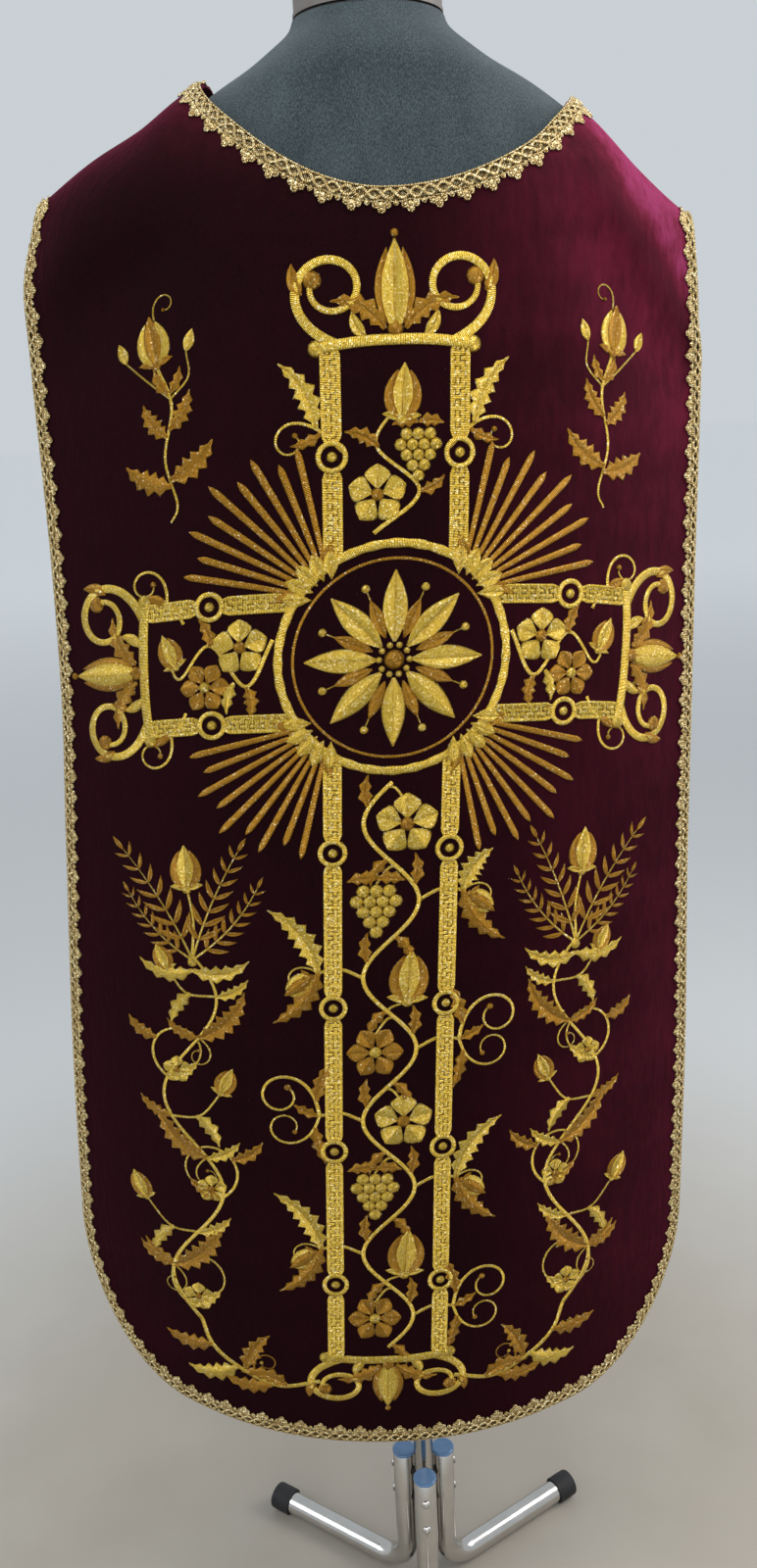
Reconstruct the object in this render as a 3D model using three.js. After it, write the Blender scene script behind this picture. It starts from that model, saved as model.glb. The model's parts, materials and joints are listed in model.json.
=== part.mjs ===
// A roman chasuble on a limbless dress form with a three-legged tube stand.
// Millimetres, +Z up. The pole's axis is x = y = 0, the floor is z = 0, and the garment's
// back, which carries the large cross, faces -Y.

import * as THREE from "three";

// ---------------------------------------------------------------- driving sizes

const CLOTH = { wall: 2.4, seam: 0.7 };
const BRAID = { heading: 12, scallop: 8, pitch: 20, thick: 1.3, lift: 0.9, start: 6 };
const GAP = 0.3; // between pieces that touch

// The line over both shoulders where front and back are sewn together. Between the ends of
// the neck opening there is no cloth, and the line only carries the surface across.
const RIDGE = [
  { x: -271, z: 1513 },
  { x: -221, z: 1543 },
  { x: -180, z: 1563 },
  { x: -129, z: 1593 },
  { x: -60, z: 1607 },
  { x: 60, z: 1606 },
  { x: 158, z: 1571.5 },
  { x: 176, z: 1556 },
  { x: 207, z: 1522 },
  { x: 232, z: 1501 },
  { x: 258, z: 1482 },
];
const NECK = { left: -129, middle: 14, right: 158 };

// Each row is a level, measured down the cloth from the ridge: the two side edges, and how
// far the cloth stands out from the shoulder line at its middle and at its edges.
const BACK_LEVELS = [
  { drop: 0, left: -271, right: 258, middle: 118, edge: 12 },
  { drop: 80, left: -291, right: 263, middle: 118, edge: 12 },
  { drop: 120, left: -294, right: 270, middle: 118, edge: 11 },
  { drop: 280, left: -297, right: 271, middle: 119, edge: 9 },
  { drop: 410, left: -302, right: 272, middle: 121, edge: 10 },
  { drop: 550, left: -314, right: 273, middle: 124, edge: 11 },
  { drop: 810, left: -336, right: 278, middle: 130, edge: 11 },
  { drop: 1150, left: -355, right: 278, middle: 136, edge: 12 },
];
const FRONT_LEVELS = [
  { drop: 0, left: -271, right: 258, middle: 124, edge: 12 },
  { drop: 12, left: -270, right: 257, middle: 124, edge: 14 },
  { drop: 70, left: -258, right: 242, middle: 126, edge: 30 },
  { drop: 170, left: -216, right: 196, middle: 130, edge: 62 },
  { drop: 300, left: -204, right: 182, middle: 130, edge: 70 },
  { drop: 430, left: -216, right: 190, middle: 128, edge: 66 },
  { drop: 640, left: -256, right: 216, middle: 128, edge: 48 },
  { drop: 860, left: -284, right: 232, middle: 130, edge: 36 },
  { drop: 1150, left: -298, right: 236, middle: 134, edge: 32 },
];

// Soft folds, each a straight line seen from the panel's side, with how far the cloth rises
// there (below zero for a hollow) and how wide the fold is.
const BACK_FOLDS = [
  { x0: -172, z0: 1520, x1: -282, z1: 1436, rise: 6, width: 27 },
  { x0: -150, z0: 1478, x1: -262, z1: 1392, rise: -4, width: 30 },
  { x0: 178, z0: 1530, x1: 262, z1: 1400, rise: 5, width: 28 },
  { x0: 148, z0: 1496, x1: 236, z1: 1356, rise: -4, width: 32 },
];
const FRONT_FOLDS = [
  { x0: -170, z0: 1516, x1: -236, z1: 1420, rise: 6, width: 24 },
  { x0: 176, z0: 1520, x1: 222, z1: 1400, rise: 6, width: 24 },
  { x0: -60, z0: 1180, x1: -110, z1: 700, rise: -4, width: 34 },
  { x0: 30, z0: 1150, x1: 70, z1: 680, rise: 4, width: 36 },
];

const BACK = {
  side: -1,
  levels: BACK_LEVELS,
  folds: BACK_FOLDS,
  turn: { middle: 140, edge: 20 }, // height in which the cloth turns from lying to hanging
  arch: 2.2,
  neck: { low: 1500, left: 1, right: 0.84 },
  hem: { z: 358, bow: 34, tilt: -13, corner: 0.62, cornerHeight: 150 },
  grid: { shoulder: 7, neck: 16, rows: 34 },
};
const FRONT = {
  side: 1,
  levels: FRONT_LEVELS,
  folds: FRONT_FOLDS,
  turn: { middle: 130, edge: 20 },
  arch: 2.2,
  neck: { low: 1482, left: 0.8, right: 0.6 },
  hem: { z: 408, bow: 30, tilt: -10, corner: 0.58, cornerHeight: 140 },
  grid: { shoulder: 6, neck: 12, rows: 26 },
};

// The dress form: half its width, and its depth to the back and to the front, at each height.
const FORM_SECTIONS = [
  { height: 1636, half: 60, back: 60, front: 58 },
  { height: 1624, half: 63.5, back: 66, front: 61 },
  { height: 1612, half: 81, back: 75, front: 66 },
  { height: 1598, half: 100, back: 83, front: 71 },
  { height: 1586, half: 125, back: 84, front: 64 },
  { height: 1572.5, half: 145.3, back: 85, front: 64 },
  { height: 1555, half: 169.3, back: 89, front: 70 },
  { height: 1533.5, half: 190, back: 94, front: 83 },
  { height: 1510, half: 203, back: 100, front: 101 },
  { height: 1484, half: 209, back: 109.5, front: 110 },
  { height: 1460, half: 206, back: 111, front: 116 },
  { height: 1410, half: 190, back: 110.5, front: 121 },
  { height: 1340, half: 171, back: 107, front: 121 },
  { height: 1260, half: 152, back: 100, front: 111 },
  { height: 1180, half: 142, back: 95, front: 102 },
  { height: 1090, half: 152, back: 102, front: 104 },
  { height: 980, half: 170, back: 112, front: 108 },
  { height: 900, half: 172, back: 111, front: 106 },
  { height: 850, half: 164, back: 104, front: 99 },
  { height: 832, half: 150, back: 92, front: 88 },
  { height: 824, half: 124, back: 72, front: 70 },
];
const NECK_CAP = { radius: 59.5, height: 26, edge: 7 };

const POLE = { radius: 11, footHeight: 6, footRadius: 12 };
const SOCKET = { radius: 21, height: 36 };
const LEG = { radius: 12.5, offset: 26.7, top: 187, bend: 38, reach: 222, spread: 123 };
const LEG_CAP = { radius: 15.5, length: 25, wall: 2.7 };
const LEG_PLUG = { radius: 13, height: 4 };
const BOLT = { radius: 5.5, height: 3.4, upper: 164, lower: 127, spacer: 5.5 };

const FINISH = {
  velvet: { color: 0x4a1224, roughness: 0.85, metalness: 0 },
  braid: { color: 0xb79a55, roughness: 0.45, metalness: 0.7 },
  jersey: { color: 0x464f52, roughness: 0.95, metalness: 0 },
  cap: { color: 0x575452, roughness: 0.6, metalness: 0 },
  chrome: { color: 0xc8c6c0, roughness: 0.15, metalness: 1 },
  rubber: { color: 0x17181a, roughness: 0.8, metalness: 0 },
  plug: { color: 0x4a6f96, roughness: 0.4, metalness: 0 },
};

// ---------------------------------------------------------------- tables and meshes

// A smooth value between a table's rows, by cubic Hermite pieces whose slopes never overshoot.
function between(rows, key, column, at) {
  const last = rows.length - 1;
  const step = Math.sign(rows[last][key] - rows[0][key]);
  let i = 0;
  while (i < last - 1 && step * (at - rows[i + 1][key]) > 0) i += 1;
  const secant = (k) => (rows[k + 1][column] - rows[k][column]) / (rows[k + 1][key] - rows[k][key]);
  const slope = (k) => {
    if (k === 0) return secant(0);
    if (k === last) return secant(last - 1);
    const before = secant(k - 1);
    const after = secant(k);
    return before * after > 0 ? (2 * before * after) / (before + after) : 0;
  };
  const span = rows[i + 1][key] - rows[i][key];
  const t = (at - rows[i][key]) / span;
  if (t < 0) return rows[i][column] + slope(i) * t * span;
  if (t > 1) return rows[i + 1][column] + slope(i + 1) * (t - 1) * span;
  const t2 = t * t;
  const t3 = t2 * t;
  return (
    (2 * t3 - 3 * t2 + 1) * rows[i][column] +
    (t3 - 2 * t2 + t) * span * slope(i) +
    (3 * t2 - 2 * t3) * rows[i + 1][column] +
    (t3 - t2) * span * slope(i + 1)
  );
}

// A closed mesh from points and triangles, turned so that its faces point out.
function closedGeometry(points, triangles) {
  let volume = 0;
  for (const [a, b, c] of triangles) {
    volume += points[a].dot(points[b].clone().cross(points[c]));
  }
  const index = triangles.flatMap(([a, b, c]) => (volume > 0 ? [a, b, c] : [a, c, b]));
  const geometry = new THREE.BufferGeometry().setFromPoints(points);
  geometry.setIndex(index);
  geometry.computeVertexNormals();
  return geometry;
}

// A solid through a row of rings with the same number of points, closed at both ends.
function loft(rings) {
  const size = rings[0].length;
  const points = rings.flat();
  const triangles = [];
  for (let r = 0; r < rings.length - 1; r++) {
    for (let k = 0; k < size; k++) {
      const a = r * size + k;
      const b = r * size + ((k + 1) % size);
      triangles.push([a, b, b + size], [a, b + size, a + size]);
    }
  }
  const far = (rings.length - 1) * size;
  for (let k = 1; k < size - 1; k++) {
    triangles.push([0, k + 1, k], [far, far + k, far + k + 1]);
  }
  return closedGeometry(points, triangles);
}

// A wall from a grid of surface points and the unit normals there; the wall lies behind them.
function wall(grid, normals, thickness) {
  const rows = grid.length;
  const columns = grid[0].length;
  const outer = grid.flat();
  const inner = outer.map((point, k) => point.clone().addScaledVector(normals.flat()[k], -thickness));
  const count = rows * columns;
  const triangles = [];
  const quad = (a, b, c, d) => triangles.push([a, b, c], [a, c, d]);
  for (let r = 0; r < rows - 1; r++) {
    for (let c = 0; c < columns - 1; c++) {
      const a = r * columns + c;
      quad(a, a + 1, a + columns + 1, a + columns);
      quad(count + a, count + a + columns, count + a + columns + 1, count + a + 1);
    }
  }
  const rim = (a, b) => quad(b, a, count + a, count + b);
  for (let c = 0; c < columns - 1; c++) {
    rim(c, c + 1);
    rim((rows - 1) * columns + c + 1, (rows - 1) * columns + c);
  }
  for (let r = 0; r < rows - 1; r++) {
    rim((r + 1) * columns, r * columns);
    rim(r * columns + columns - 1, (r + 1) * columns + columns - 1);
  }
  return closedGeometry([...outer, ...inner], triangles);
}

function piece(name, geometry, finish) {
  const mesh = new THREE.Mesh(geometry, new THREE.MeshStandardMaterial(FINISH[finish]));
  mesh.name = name;
  return mesh;
}

// ---------------------------------------------------------------- the cloth's surface

// A panel's outer face as a surface of two values: across, from -1 at the left edge to 1 at
// the right one, and drop, the millimetres down the cloth from the shoulder ridge. Each
// column leaves the ridge level, turns down through a quarter ellipse and then hangs.
class Panel {
  constructor(spec) {
    Object.assign(this, spec);
  }

  edges(drop) {
    return {
      left: between(this.levels, "drop", "left", drop),
      right: between(this.levels, "drop", "right", drop),
    };
  }

  x(across, drop) {
    const { left, right } = this.edges(drop);
    return left + ((right - left) * (across + 1)) / 2;
  }

  // The value of across whose column starts at this x on the ridge.
  acrossAt(x) {
    const { left, right } = this.edges(0);
    return (2 * (x - left)) / (right - left) - 1;
  }

  crown(across) {
    return 1 - Math.abs(across) ** this.arch;
  }

  // Height and length of the quarter ellipse in which this column turns down.
  turnOf(across) {
    const height = this.turn.edge + (this.turn.middle - this.turn.edge) * this.crown(across);
    const depth = this.depth(across, 0);
    return { height, length: (Math.PI / 2) * Math.sqrt((height ** 2 + depth ** 2) / 2) };
  }

  depth(across, drop) {
    const middle = between(this.levels, "drop", "middle", drop);
    const edge = between(this.levels, "drop", "edge", drop);
    return edge + (middle - edge) * this.crown(across);
  }

  smoothPoint(across, drop) {
    const top = between(RIDGE, "x", "z", this.x(across, 0));
    const { height, length } = this.turnOf(across);
    const angle = (Math.PI / 2) * Math.min(drop / length, 1);
    const y = this.side * this.depth(across, drop) * Math.sin(angle);
    const z = top - height * (1 - Math.cos(angle)) - Math.max(drop - length, 0);
    return new THREE.Vector3(this.x(across, drop), y, z);
  }

  normalOf(surface, across, drop) {
    const stepAcross = 0.001;
    const stepDrop = 0.25;
    const alongX = surface(across + stepAcross, drop).sub(surface(across - stepAcross, drop));
    const alongZ = surface(across, drop + stepDrop).sub(surface(across, drop - stepDrop));
    return alongX.cross(alongZ).normalize().multiplyScalar(this.side);
  }

  // How far the folds lift the cloth: a bell across each fold, fading out at its two ends.
  foldRise(point) {
    let rise = 0;
    for (const fold of this.folds) {
      const along = new THREE.Vector2(fold.x1 - fold.x0, fold.z1 - fold.z0);
      const from = new THREE.Vector2(point.x - fold.x0, point.z - fold.z0);
      const t = from.dot(along) / along.lengthSq();
      const away = from.cross(along) / along.length();
      const fade = Math.exp(-((Math.abs(t - 0.5) / 0.55) ** 4));
      rise += fold.rise * fade * Math.exp(-((away / fold.width) ** 2));
    }
    return rise;
  }

  point(across, drop) {
    const smooth = this.smoothPoint(across, drop);
    const normal = this.normalOf((a, d) => this.smoothPoint(a, d), across, drop);
    return smooth.addScaledVector(normal, this.foldRise(smooth));
  }

  normal(across, drop) {
    return this.normalOf((a, d) => this.point(a, d), across, drop);
  }

  // The drop at which the neck opening is cut, zero outside it. Seen from the panel's side the
  // cut is a bow from each end of the opening down to its lowest point.
  neckline(across) {
    const x = this.x(across, 0);
    const side = x < NECK.middle ? "left" : "right";
    const t = (x - NECK.middle) / (NECK[side] - NECK.middle);
    if (t >= 1) return 0;
    const end = between(RIDGE, "x", "z", NECK[side]);
    const z = end - (end - this.neck.low) * (1 - t ** 2) ** this.neck[side];
    const { height, length } = this.turnOf(across);
    const fallen = (between(RIDGE, "x", "z", x) - z) / height;
    return (length * Math.acos(1 - Math.min(fallen, 1))) / (Math.PI / 2);
  }

  // The drop at the hem: a shallow bow between two quarter-ellipse corners.
  hemline(across) {
    const { z, bow, tilt, corner, cornerHeight } = this.hem;
    const into = Math.max((Math.abs(across) - corner) / (1 - corner), 0);
    const rounded = cornerHeight * (1 - Math.sqrt(Math.max(1 - into ** 2, 0)));
    const low = z + bow * across ** 2 + tilt * across + rounded;
    const { height, length } = this.turnOf(across);
    return length + between(RIDGE, "x", "z", this.x(across, 0)) - height - low;
  }

  // The place reached by going width millimetres over the cloth, in from a place on its edge.
  inset(across, drop, inward, width) {
    const h = 0.001;
    const byAcross = this.point(across + h, drop).sub(this.point(across - h, drop)).divideScalar(2 * h);
    const byDrop = this.point(across, drop + 0.5).sub(this.point(across, drop - 0.5));
    const aa = byAcross.dot(byAcross);
    const ad = byAcross.dot(byDrop);
    const dd = byDrop.dot(byDrop);
    const a = byAcross.dot(inward) * width;
    const d = byDrop.dot(inward) * width;
    const det = aa * dd - ad * ad;
    const reached = Math.max(drop + (d * aa - a * ad) / det, CLOTH.seam);
    return { across: across + (a * dd - d * ad) / det, drop: reached };
  }
}

const back = new Panel(BACK);
const front = new Panel(FRONT);

// Columns are packed towards the ends of the neck opening and towards the side edges.
function columnsOf(panel) {
  const left = panel.acrossAt(NECK.left);
  const right = panel.acrossAt(NECK.right);
  const { shoulder, neck } = panel.grid;
  const columns = [];
  for (let i = 0; i < shoulder; i++) {
    columns.push(-1 + (left + 1) * (i / shoulder) ** 1.25);
  }
  for (let i = 0; i <= neck; i++) {
    columns.push((left + right) / 2 - ((right - left) / 2) * Math.cos((Math.PI * i) / neck));
  }
  for (let i = shoulder - 1; i >= 0; i--) {
    columns.push(1 - (1 - right) * (i / shoulder) ** 1.25);
  }
  return columns;
}

function clothPanel(panel) {
  const columns = columnsOf(panel);
  const grid = [];
  const normals = [];
  for (let r = 0; r <= panel.grid.rows; r++) {
    const t = (r / panel.grid.rows) ** 1.7;
    const places = columns.map((across) => {
      const top = Math.max(panel.neckline(across), CLOTH.seam / 2);
      return [across, top + (panel.hemline(across) - top) * t];
    });
    grid.push(places.map(([across, drop]) => panel.point(across, drop)));
    normals.push(places.map(([across, drop]) => panel.normal(across, drop)));
  }
  return wall(grid, normals, CLOTH.wall);
}

// ---------------------------------------------------------------- the braid

// The places along a panel's outer edge: down the left side, along the hem, up the right.
function outerEdge(panel) {
  const left = panel.hemline(-1);
  const right = panel.hemline(1);
  const steps = 300;
  const places = [];
  const down = (end, i) => BRAID.start + (end - BRAID.start) * (i / steps) ** 1.3;
  for (let i = 0; i < steps; i++) places.push([-1, down(left, i)]);
  for (let i = 0; i <= steps; i++) {
    const across = -Math.cos((Math.PI * i) / steps);
    places.push([across, panel.hemline(across)]);
  }
  for (let i = steps - 1; i >= 0; i--) places.push([1, down(right, i)]);
  return places;
}

function neckEdge(panel) {
  const left = panel.acrossAt(NECK.left);
  const right = panel.acrossAt(NECK.right);
  const steps = 200;
  const places = [];
  for (let i = 0; i <= steps; i++) {
    const across = (left + right) / 2 - ((right - left) / 2) * Math.cos((Math.PI * i) / steps);
    places.push([across, Math.max(panel.neckline(across), BRAID.start)]);
  }
  return places;
}

// A braid sewn on along an edge: a straight heading with one pointed scallop to each pitch,
// lying on the cloth and pointing inwards. turn is 1 where inwards lies to the left of the
// edge's direction, seen from outside, and -1 where it lies to the right.
function braidOn(panel, places, turn) {
  const line = places.map(([across, drop]) => panel.point(across, drop));
  const lengths = [0];
  for (let i = 1; i < line.length; i++) lengths.push(lengths[i - 1] + line[i].distanceTo(line[i - 1]));
  const total = lengths.at(-1);
  const pitch = total / Math.round(total / BRAID.pitch);
  const stations = [];
  for (let sixth = 0; sixth <= Math.round((6 * total) / pitch); sixth++) {
    const at = (sixth * pitch) / 6;
    const nearEnd = Math.min(at, total - at) < 1.5 * pitch; // where the cloth turns most
    if (sixth % 3 === 0 || nearEnd) stations.push(at);
  }
  const rings = [];
  let i = 0;
  for (const at of stations) {
    while (i < line.length - 2 && lengths[i + 1] < at) i += 1;
    const t = (at - lengths[i]) / (lengths[i + 1] - lengths[i]);
    const across = places[i][0] + (places[i + 1][0] - places[i][0]) * t;
    const drop = places[i][1] + (places[i + 1][1] - places[i][1]) * t;
    const normal = panel.normal(across, drop);
    const along = line[i + 1].clone().sub(line[i]).normalize();
    const inward = normal.clone().cross(along).multiplyScalar(turn).normalize();
    const width = BRAID.heading + BRAID.scallop * (1 - Math.abs(1 - 2 * ((at / pitch) % 1)));
    const outer = panel.point(across, drop);
    const place = panel.inset(across, drop, inward, width);
    const inner = panel.point(place.across, place.drop);
    const innerNormal = panel.normal(place.across, place.drop);
    const raised = (point, direction, height) => point.clone().addScaledVector(direction, height);
    rings.push([
      raised(outer, normal, BRAID.lift),
      raised(inner, innerNormal, BRAID.lift),
      raised(inner, innerNormal, BRAID.lift + BRAID.thick),
      raised(outer, normal, BRAID.lift + BRAID.thick),
    ]);
  }
  return loft(rings);
}

// ---------------------------------------------------------------- the dress form

// One level of the form: an oval with its own depth to the back and to the front.
function formRing(section, sides = 40) {
  const ring = [];
  for (let k = 0; k < sides; k++) {
    const angle = (2 * Math.PI * k) / sides;
    const depth = Math.sin(angle) < 0 ? section.back : section.front;
    const x = section.half * Math.cos(angle);
    ring.push(new THREE.Vector3(x, depth * Math.sin(angle), section.height));
  }
  return ring;
}

function lathe(profile, sides) {
  const points = profile.map(([radius, height]) => new THREE.Vector2(radius, height));
  return new THREE.LatheGeometry(points, sides).rotateX(Math.PI / 2);
}

const formTop = FORM_SECTIONS[0].height;
const formBase = FORM_SECTIONS.at(-1).height;

function neckCap() {
  const { radius, height, edge } = NECK_CAP;
  const base = formTop + GAP;
  return lathe(
    [
      [0, base],
      [radius, base],
      [radius - 0.6, base + height - edge],
      [radius - edge * 0.5, base + height - edge * 0.2],
      [0, base + height],
    ],
    40,
  );
}

// ---------------------------------------------------------------- the stand

// A tube that comes straight down, turns through a quarter circle and runs out level. The
// sections are packed into the turn instead of being spread evenly.
class BentTube extends THREE.Curve {
  getUtoTmapping(u) {
    return u;
  }

  getPoint(t) {
    const arcShare = 0.8;
    const lower = LEG_CAP.radius;
    const turnEnd = LEG.offset + LEG.bend;
    if (t <= 0.1) {
      return new THREE.Vector3(LEG.offset, 0, LEG.top + (lower + LEG.bend - LEG.top) * (t / 0.1));
    }
    if (t >= 0.1 + arcShare) {
      const end = LEG.reach - LEG_CAP.wall - GAP;
      return new THREE.Vector3(turnEnd + (end - turnEnd) * ((t - 0.1 - arcShare) / 0.1), 0, lower);
    }
    const angle = ((t - 0.1) / arcShare) * (Math.PI / 2);
    const x = turnEnd - LEG.bend * Math.cos(angle);
    return new THREE.Vector3(x, 0, lower + LEG.bend * (1 - Math.sin(angle)));
  }
}

function bentTube() {
  const section = new THREE.Shape().absarc(0, 0, LEG.radius, 0, 2 * Math.PI);
  return new THREE.ExtrudeGeometry(section, { extrudePath: new BentTube(), steps: 10, curveSegments: 7 });
}

function legCap() {
  const bore = LEG.radius + GAP;
  const { radius, length, wall: thick } = LEG_CAP;
  return lathe(
    [
      [0, -thick],
      [bore, -thick],
      [bore, -length],
      [radius - 0.6, -length],
      [radius, -length + 1.5],
      [radius, -1.5],
      [radius - 1.5, 0],
      [0, 0],
    ],
    16,
  );
}

function legPlug() {
  const { radius, height } = LEG_PLUG;
  return lathe(
    [
      [0, 0],
      [radius, 0],
      [radius, height * 0.5],
      [radius - 1.6, height * 0.85],
      [0, height],
    ],
    20,
  );
}

function boltHead() {
  const { radius, height } = BOLT;
  return lathe(
    [
      [0, 0],
      [radius, 0],
      [radius - 0.6, height * 0.6],
      [0, height],
    ],
    12,
  );
}

function spacer() {
  const length = LEG.offset - LEG.radius - POLE.radius - 2 * GAP;
  return lathe(
    [
      [0, 0],
      [BOLT.spacer, 0],
      [BOLT.spacer, length],
      [0, length],
    ],
    10,
  );
}

// One leg with what is on it, built along +X and then turned into its direction.
function leg(number, degrees) {
  const group = new THREE.Group();
  group.add(piece(`leg_tube_${number}`, bentTube(), "chrome"));
  const cap = piece(`leg_cap_${number}`, legCap(), "rubber");
  cap.rotation.y = Math.PI / 2;
  cap.position.set(LEG.reach, 0, LEG_CAP.radius);
  const plug = piece(`leg_plug_${number}`, legPlug(), "plug");
  plug.position.set(LEG.offset, 0, LEG.top + GAP);
  group.add(cap, plug);
  for (const level of ["upper", "lower"]) {
    const head = piece(`bolt_head_${number}_${level}`, boltHead(), "chrome");
    head.rotation.y = Math.PI / 2;
    head.position.set(LEG.offset + LEG.radius + GAP, 0, BOLT[level]);
    const ring = piece(`spacer_${number}_${level}`, spacer(), "rubber");
    ring.rotation.y = Math.PI / 2;
    ring.position.set(POLE.radius + GAP, 0, BOLT[level]);
    group.add(head, ring);
  }
  group.rotation.z = THREE.MathUtils.degToRad(degrees);
  return group;
}

function pole() {
  const low = POLE.footHeight + GAP;
  const high = formBase - GAP;
  return lathe(
    [
      [0, low],
      [POLE.radius, low],
      [POLE.radius, high],
      [0, high],
    ],
    24,
  );
}

function poleFoot() {
  return lathe(
    [
      [0, 0],
      [POLE.footRadius, 0],
      [POLE.footRadius, POLE.footHeight],
      [0, POLE.footHeight],
    ],
    24,
  );
}

function poleSocket() {
  const bore = POLE.radius + GAP;
  const top = formBase - GAP;
  return lathe(
    [
      [bore, top - SOCKET.height],
      [SOCKET.radius - 4, top - SOCKET.height],
      [SOCKET.radius, top - SOCKET.height + 4],
      [SOCKET.radius, top],
      [bore, top],
      [bore, top - SOCKET.height],
    ],
    24,
  );
}

// ---------------------------------------------------------------- the whole part

const chasuble = new THREE.Group();
chasuble.add(
  piece("back_panel", clothPanel(back), "velvet"),
  piece("front_panel", clothPanel(front), "velvet"),
  piece("back_edge_braid", braidOn(back, outerEdge(back), 1), "braid"),
  piece("front_edge_braid", braidOn(front, outerEdge(front), -1), "braid"),
  piece("back_neck_braid", braidOn(back, neckEdge(back), -1), "braid"),
  piece("front_neck_braid", braidOn(front, neckEdge(front), 1), "braid"),
);

const dressForm = new THREE.Group();
dressForm.add(
  piece("form_torso", loft(FORM_SECTIONS.map((section) => formRing(section))), "jersey"),
  piece("neck_cap", neckCap(), "cap"),
  piece("pole_socket", poleSocket(), "rubber"),
);

const stand = new THREE.Group();
stand.add(piece("pole", pole(), "chrome"), piece("pole_foot", poleFoot(), "rubber"));
const firstLeg = -90; // one leg points to -Y, the others stand off it by the spread
[0, LEG.spread, -LEG.spread].forEach((turned, i) => stand.add(leg(i + 1, firstLeg + turned)));

const part = new THREE.Group();
part.add(chasuble, dressForm, stand);
export default part;
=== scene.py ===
# %% [markdown]
# # A roman chasuble on a dress form
#
# A roman chasuble is two stiff panels of velvet joined over the shoulders and open at the
# sides. This one hangs on a limbless form on a three-legged stand, its embroidered back
# towards us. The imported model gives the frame: every piece below is worked out in the same
# coordinates, +Z up, with the garment's back facing -Y.

import json
from copy import copy
from math import cos, hypot, pi, radians, sin

import bpy
import numpy as np
from mathutils import Matrix, Vector

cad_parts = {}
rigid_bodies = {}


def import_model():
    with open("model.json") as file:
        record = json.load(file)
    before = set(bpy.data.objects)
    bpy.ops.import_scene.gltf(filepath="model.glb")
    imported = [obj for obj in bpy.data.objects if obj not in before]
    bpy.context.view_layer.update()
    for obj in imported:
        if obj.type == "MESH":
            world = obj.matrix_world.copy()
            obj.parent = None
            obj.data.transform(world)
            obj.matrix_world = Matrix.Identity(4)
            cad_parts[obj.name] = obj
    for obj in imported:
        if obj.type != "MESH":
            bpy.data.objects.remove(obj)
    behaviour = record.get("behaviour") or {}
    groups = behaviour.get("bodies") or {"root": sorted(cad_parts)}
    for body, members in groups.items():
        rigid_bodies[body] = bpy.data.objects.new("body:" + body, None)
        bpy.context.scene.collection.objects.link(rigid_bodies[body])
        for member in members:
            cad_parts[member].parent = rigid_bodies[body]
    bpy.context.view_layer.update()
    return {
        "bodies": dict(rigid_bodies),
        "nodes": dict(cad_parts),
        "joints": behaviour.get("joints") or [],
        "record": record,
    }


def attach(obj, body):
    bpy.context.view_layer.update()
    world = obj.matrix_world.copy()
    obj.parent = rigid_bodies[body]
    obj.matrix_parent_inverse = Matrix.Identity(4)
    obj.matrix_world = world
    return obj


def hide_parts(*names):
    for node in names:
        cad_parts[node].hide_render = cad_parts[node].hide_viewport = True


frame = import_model()
MM = 0.001  # the tables are in millimetres, Blender's meshes in metres

# %% [markdown]
# ## Camera, floor and light
#
# The eye stands close behind the garment at shoulder height and looks down a little, so the
# shoulders look wide and the hem narrow. A wide lens near the object gives that taper, and a
# longer lens further off would lose it. The camera also leans a few degrees.

# %% Camera
EYE = (-0.018, -1.130, 1.366)
LOOKING_DOWN = radians(17.9)
LEAN = radians(2.5)
LENS = 28.845  # mm on a 36 mm long side

camera_data = bpy.data.cameras.new("eye")
camera_data.lens = LENS
camera_data.sensor_width = 36
camera_data.clip_start = 0.02
camera = bpy.data.objects.new("eye", camera_data)
camera.matrix_world = (
    Matrix.Translation(EYE)
    @ Matrix.Rotation(pi / 2 - LOOKING_DOWN, 4, "X")
    @ Matrix.Rotation(-LEAN, 4, "Z")
)
bpy.context.scene.collection.objects.link(camera)
bpy.context.scene.camera = camera
print("lens", LENS, "mm, eye", EYE)

# %% [markdown]
# Velvet is dark face on and bright where it turns away from us, so the light has to come from
# the side as well as from above. Large area lamps are plain and soft, and small ones would
# leave hard edges in the chrome.

# %% Lamps and surroundings
LAMPS = [
    # name, place, aimed at, width, height, watts, colour
    ("ceiling", (0.3, -0.8, 3.0), (0.0, 0.0, 0.9), 2.3, 2.0, 46, (1.0, 0.97, 0.92)),
    ("right_side", (2.0, 0.2, 2.2), (0.2, 0.0, 1.2), 1.2, 1.6, 36, (1.0, 0.95, 0.93)),
    ("left_side", (-2.0, -0.6, 1.9), (-0.2, 0.0, 1.0), 0.9, 1.5, 14, (0.93, 0.97, 1.0)),
    ("behind_eye", (-0.3, -2.6, 1.8), (0.0, 0.0, 0.8), 2.8, 2.4, 26, (1.0, 0.98, 0.95)),
]


def add_lamp(name, place, target, width, height, watts, colour):
    """A rectangular area lamp at place, facing target."""
    data = bpy.data.lights.new(name, "AREA")
    data.shape = "RECTANGLE"
    data.size, data.size_y = width, height
    data.energy = watts
    data.color = colour
    lamp = bpy.data.objects.new(name, data)
    lamp.location = place
    aim = np.subtract(target, place)
    lamp.rotation_mode = "QUATERNION"
    lamp.rotation_quaternion = Vector(aim).to_track_quat("-Z", "Y")
    bpy.context.scene.collection.objects.link(lamp)


for lamp in LAMPS:
    add_lamp(*lamp)

world = bpy.data.worlds.new("pale_room")
world.use_nodes = True
world.node_tree.nodes["Background"].inputs["Color"].default_value = (0.70, 0.75, 0.79, 1)
world.node_tree.nodes["Background"].inputs["Strength"].default_value = 0.84
bpy.context.scene.world = world
bpy.context.scene.view_settings.view_transform = "Standard"
print("lamps:", len(LAMPS))

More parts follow.
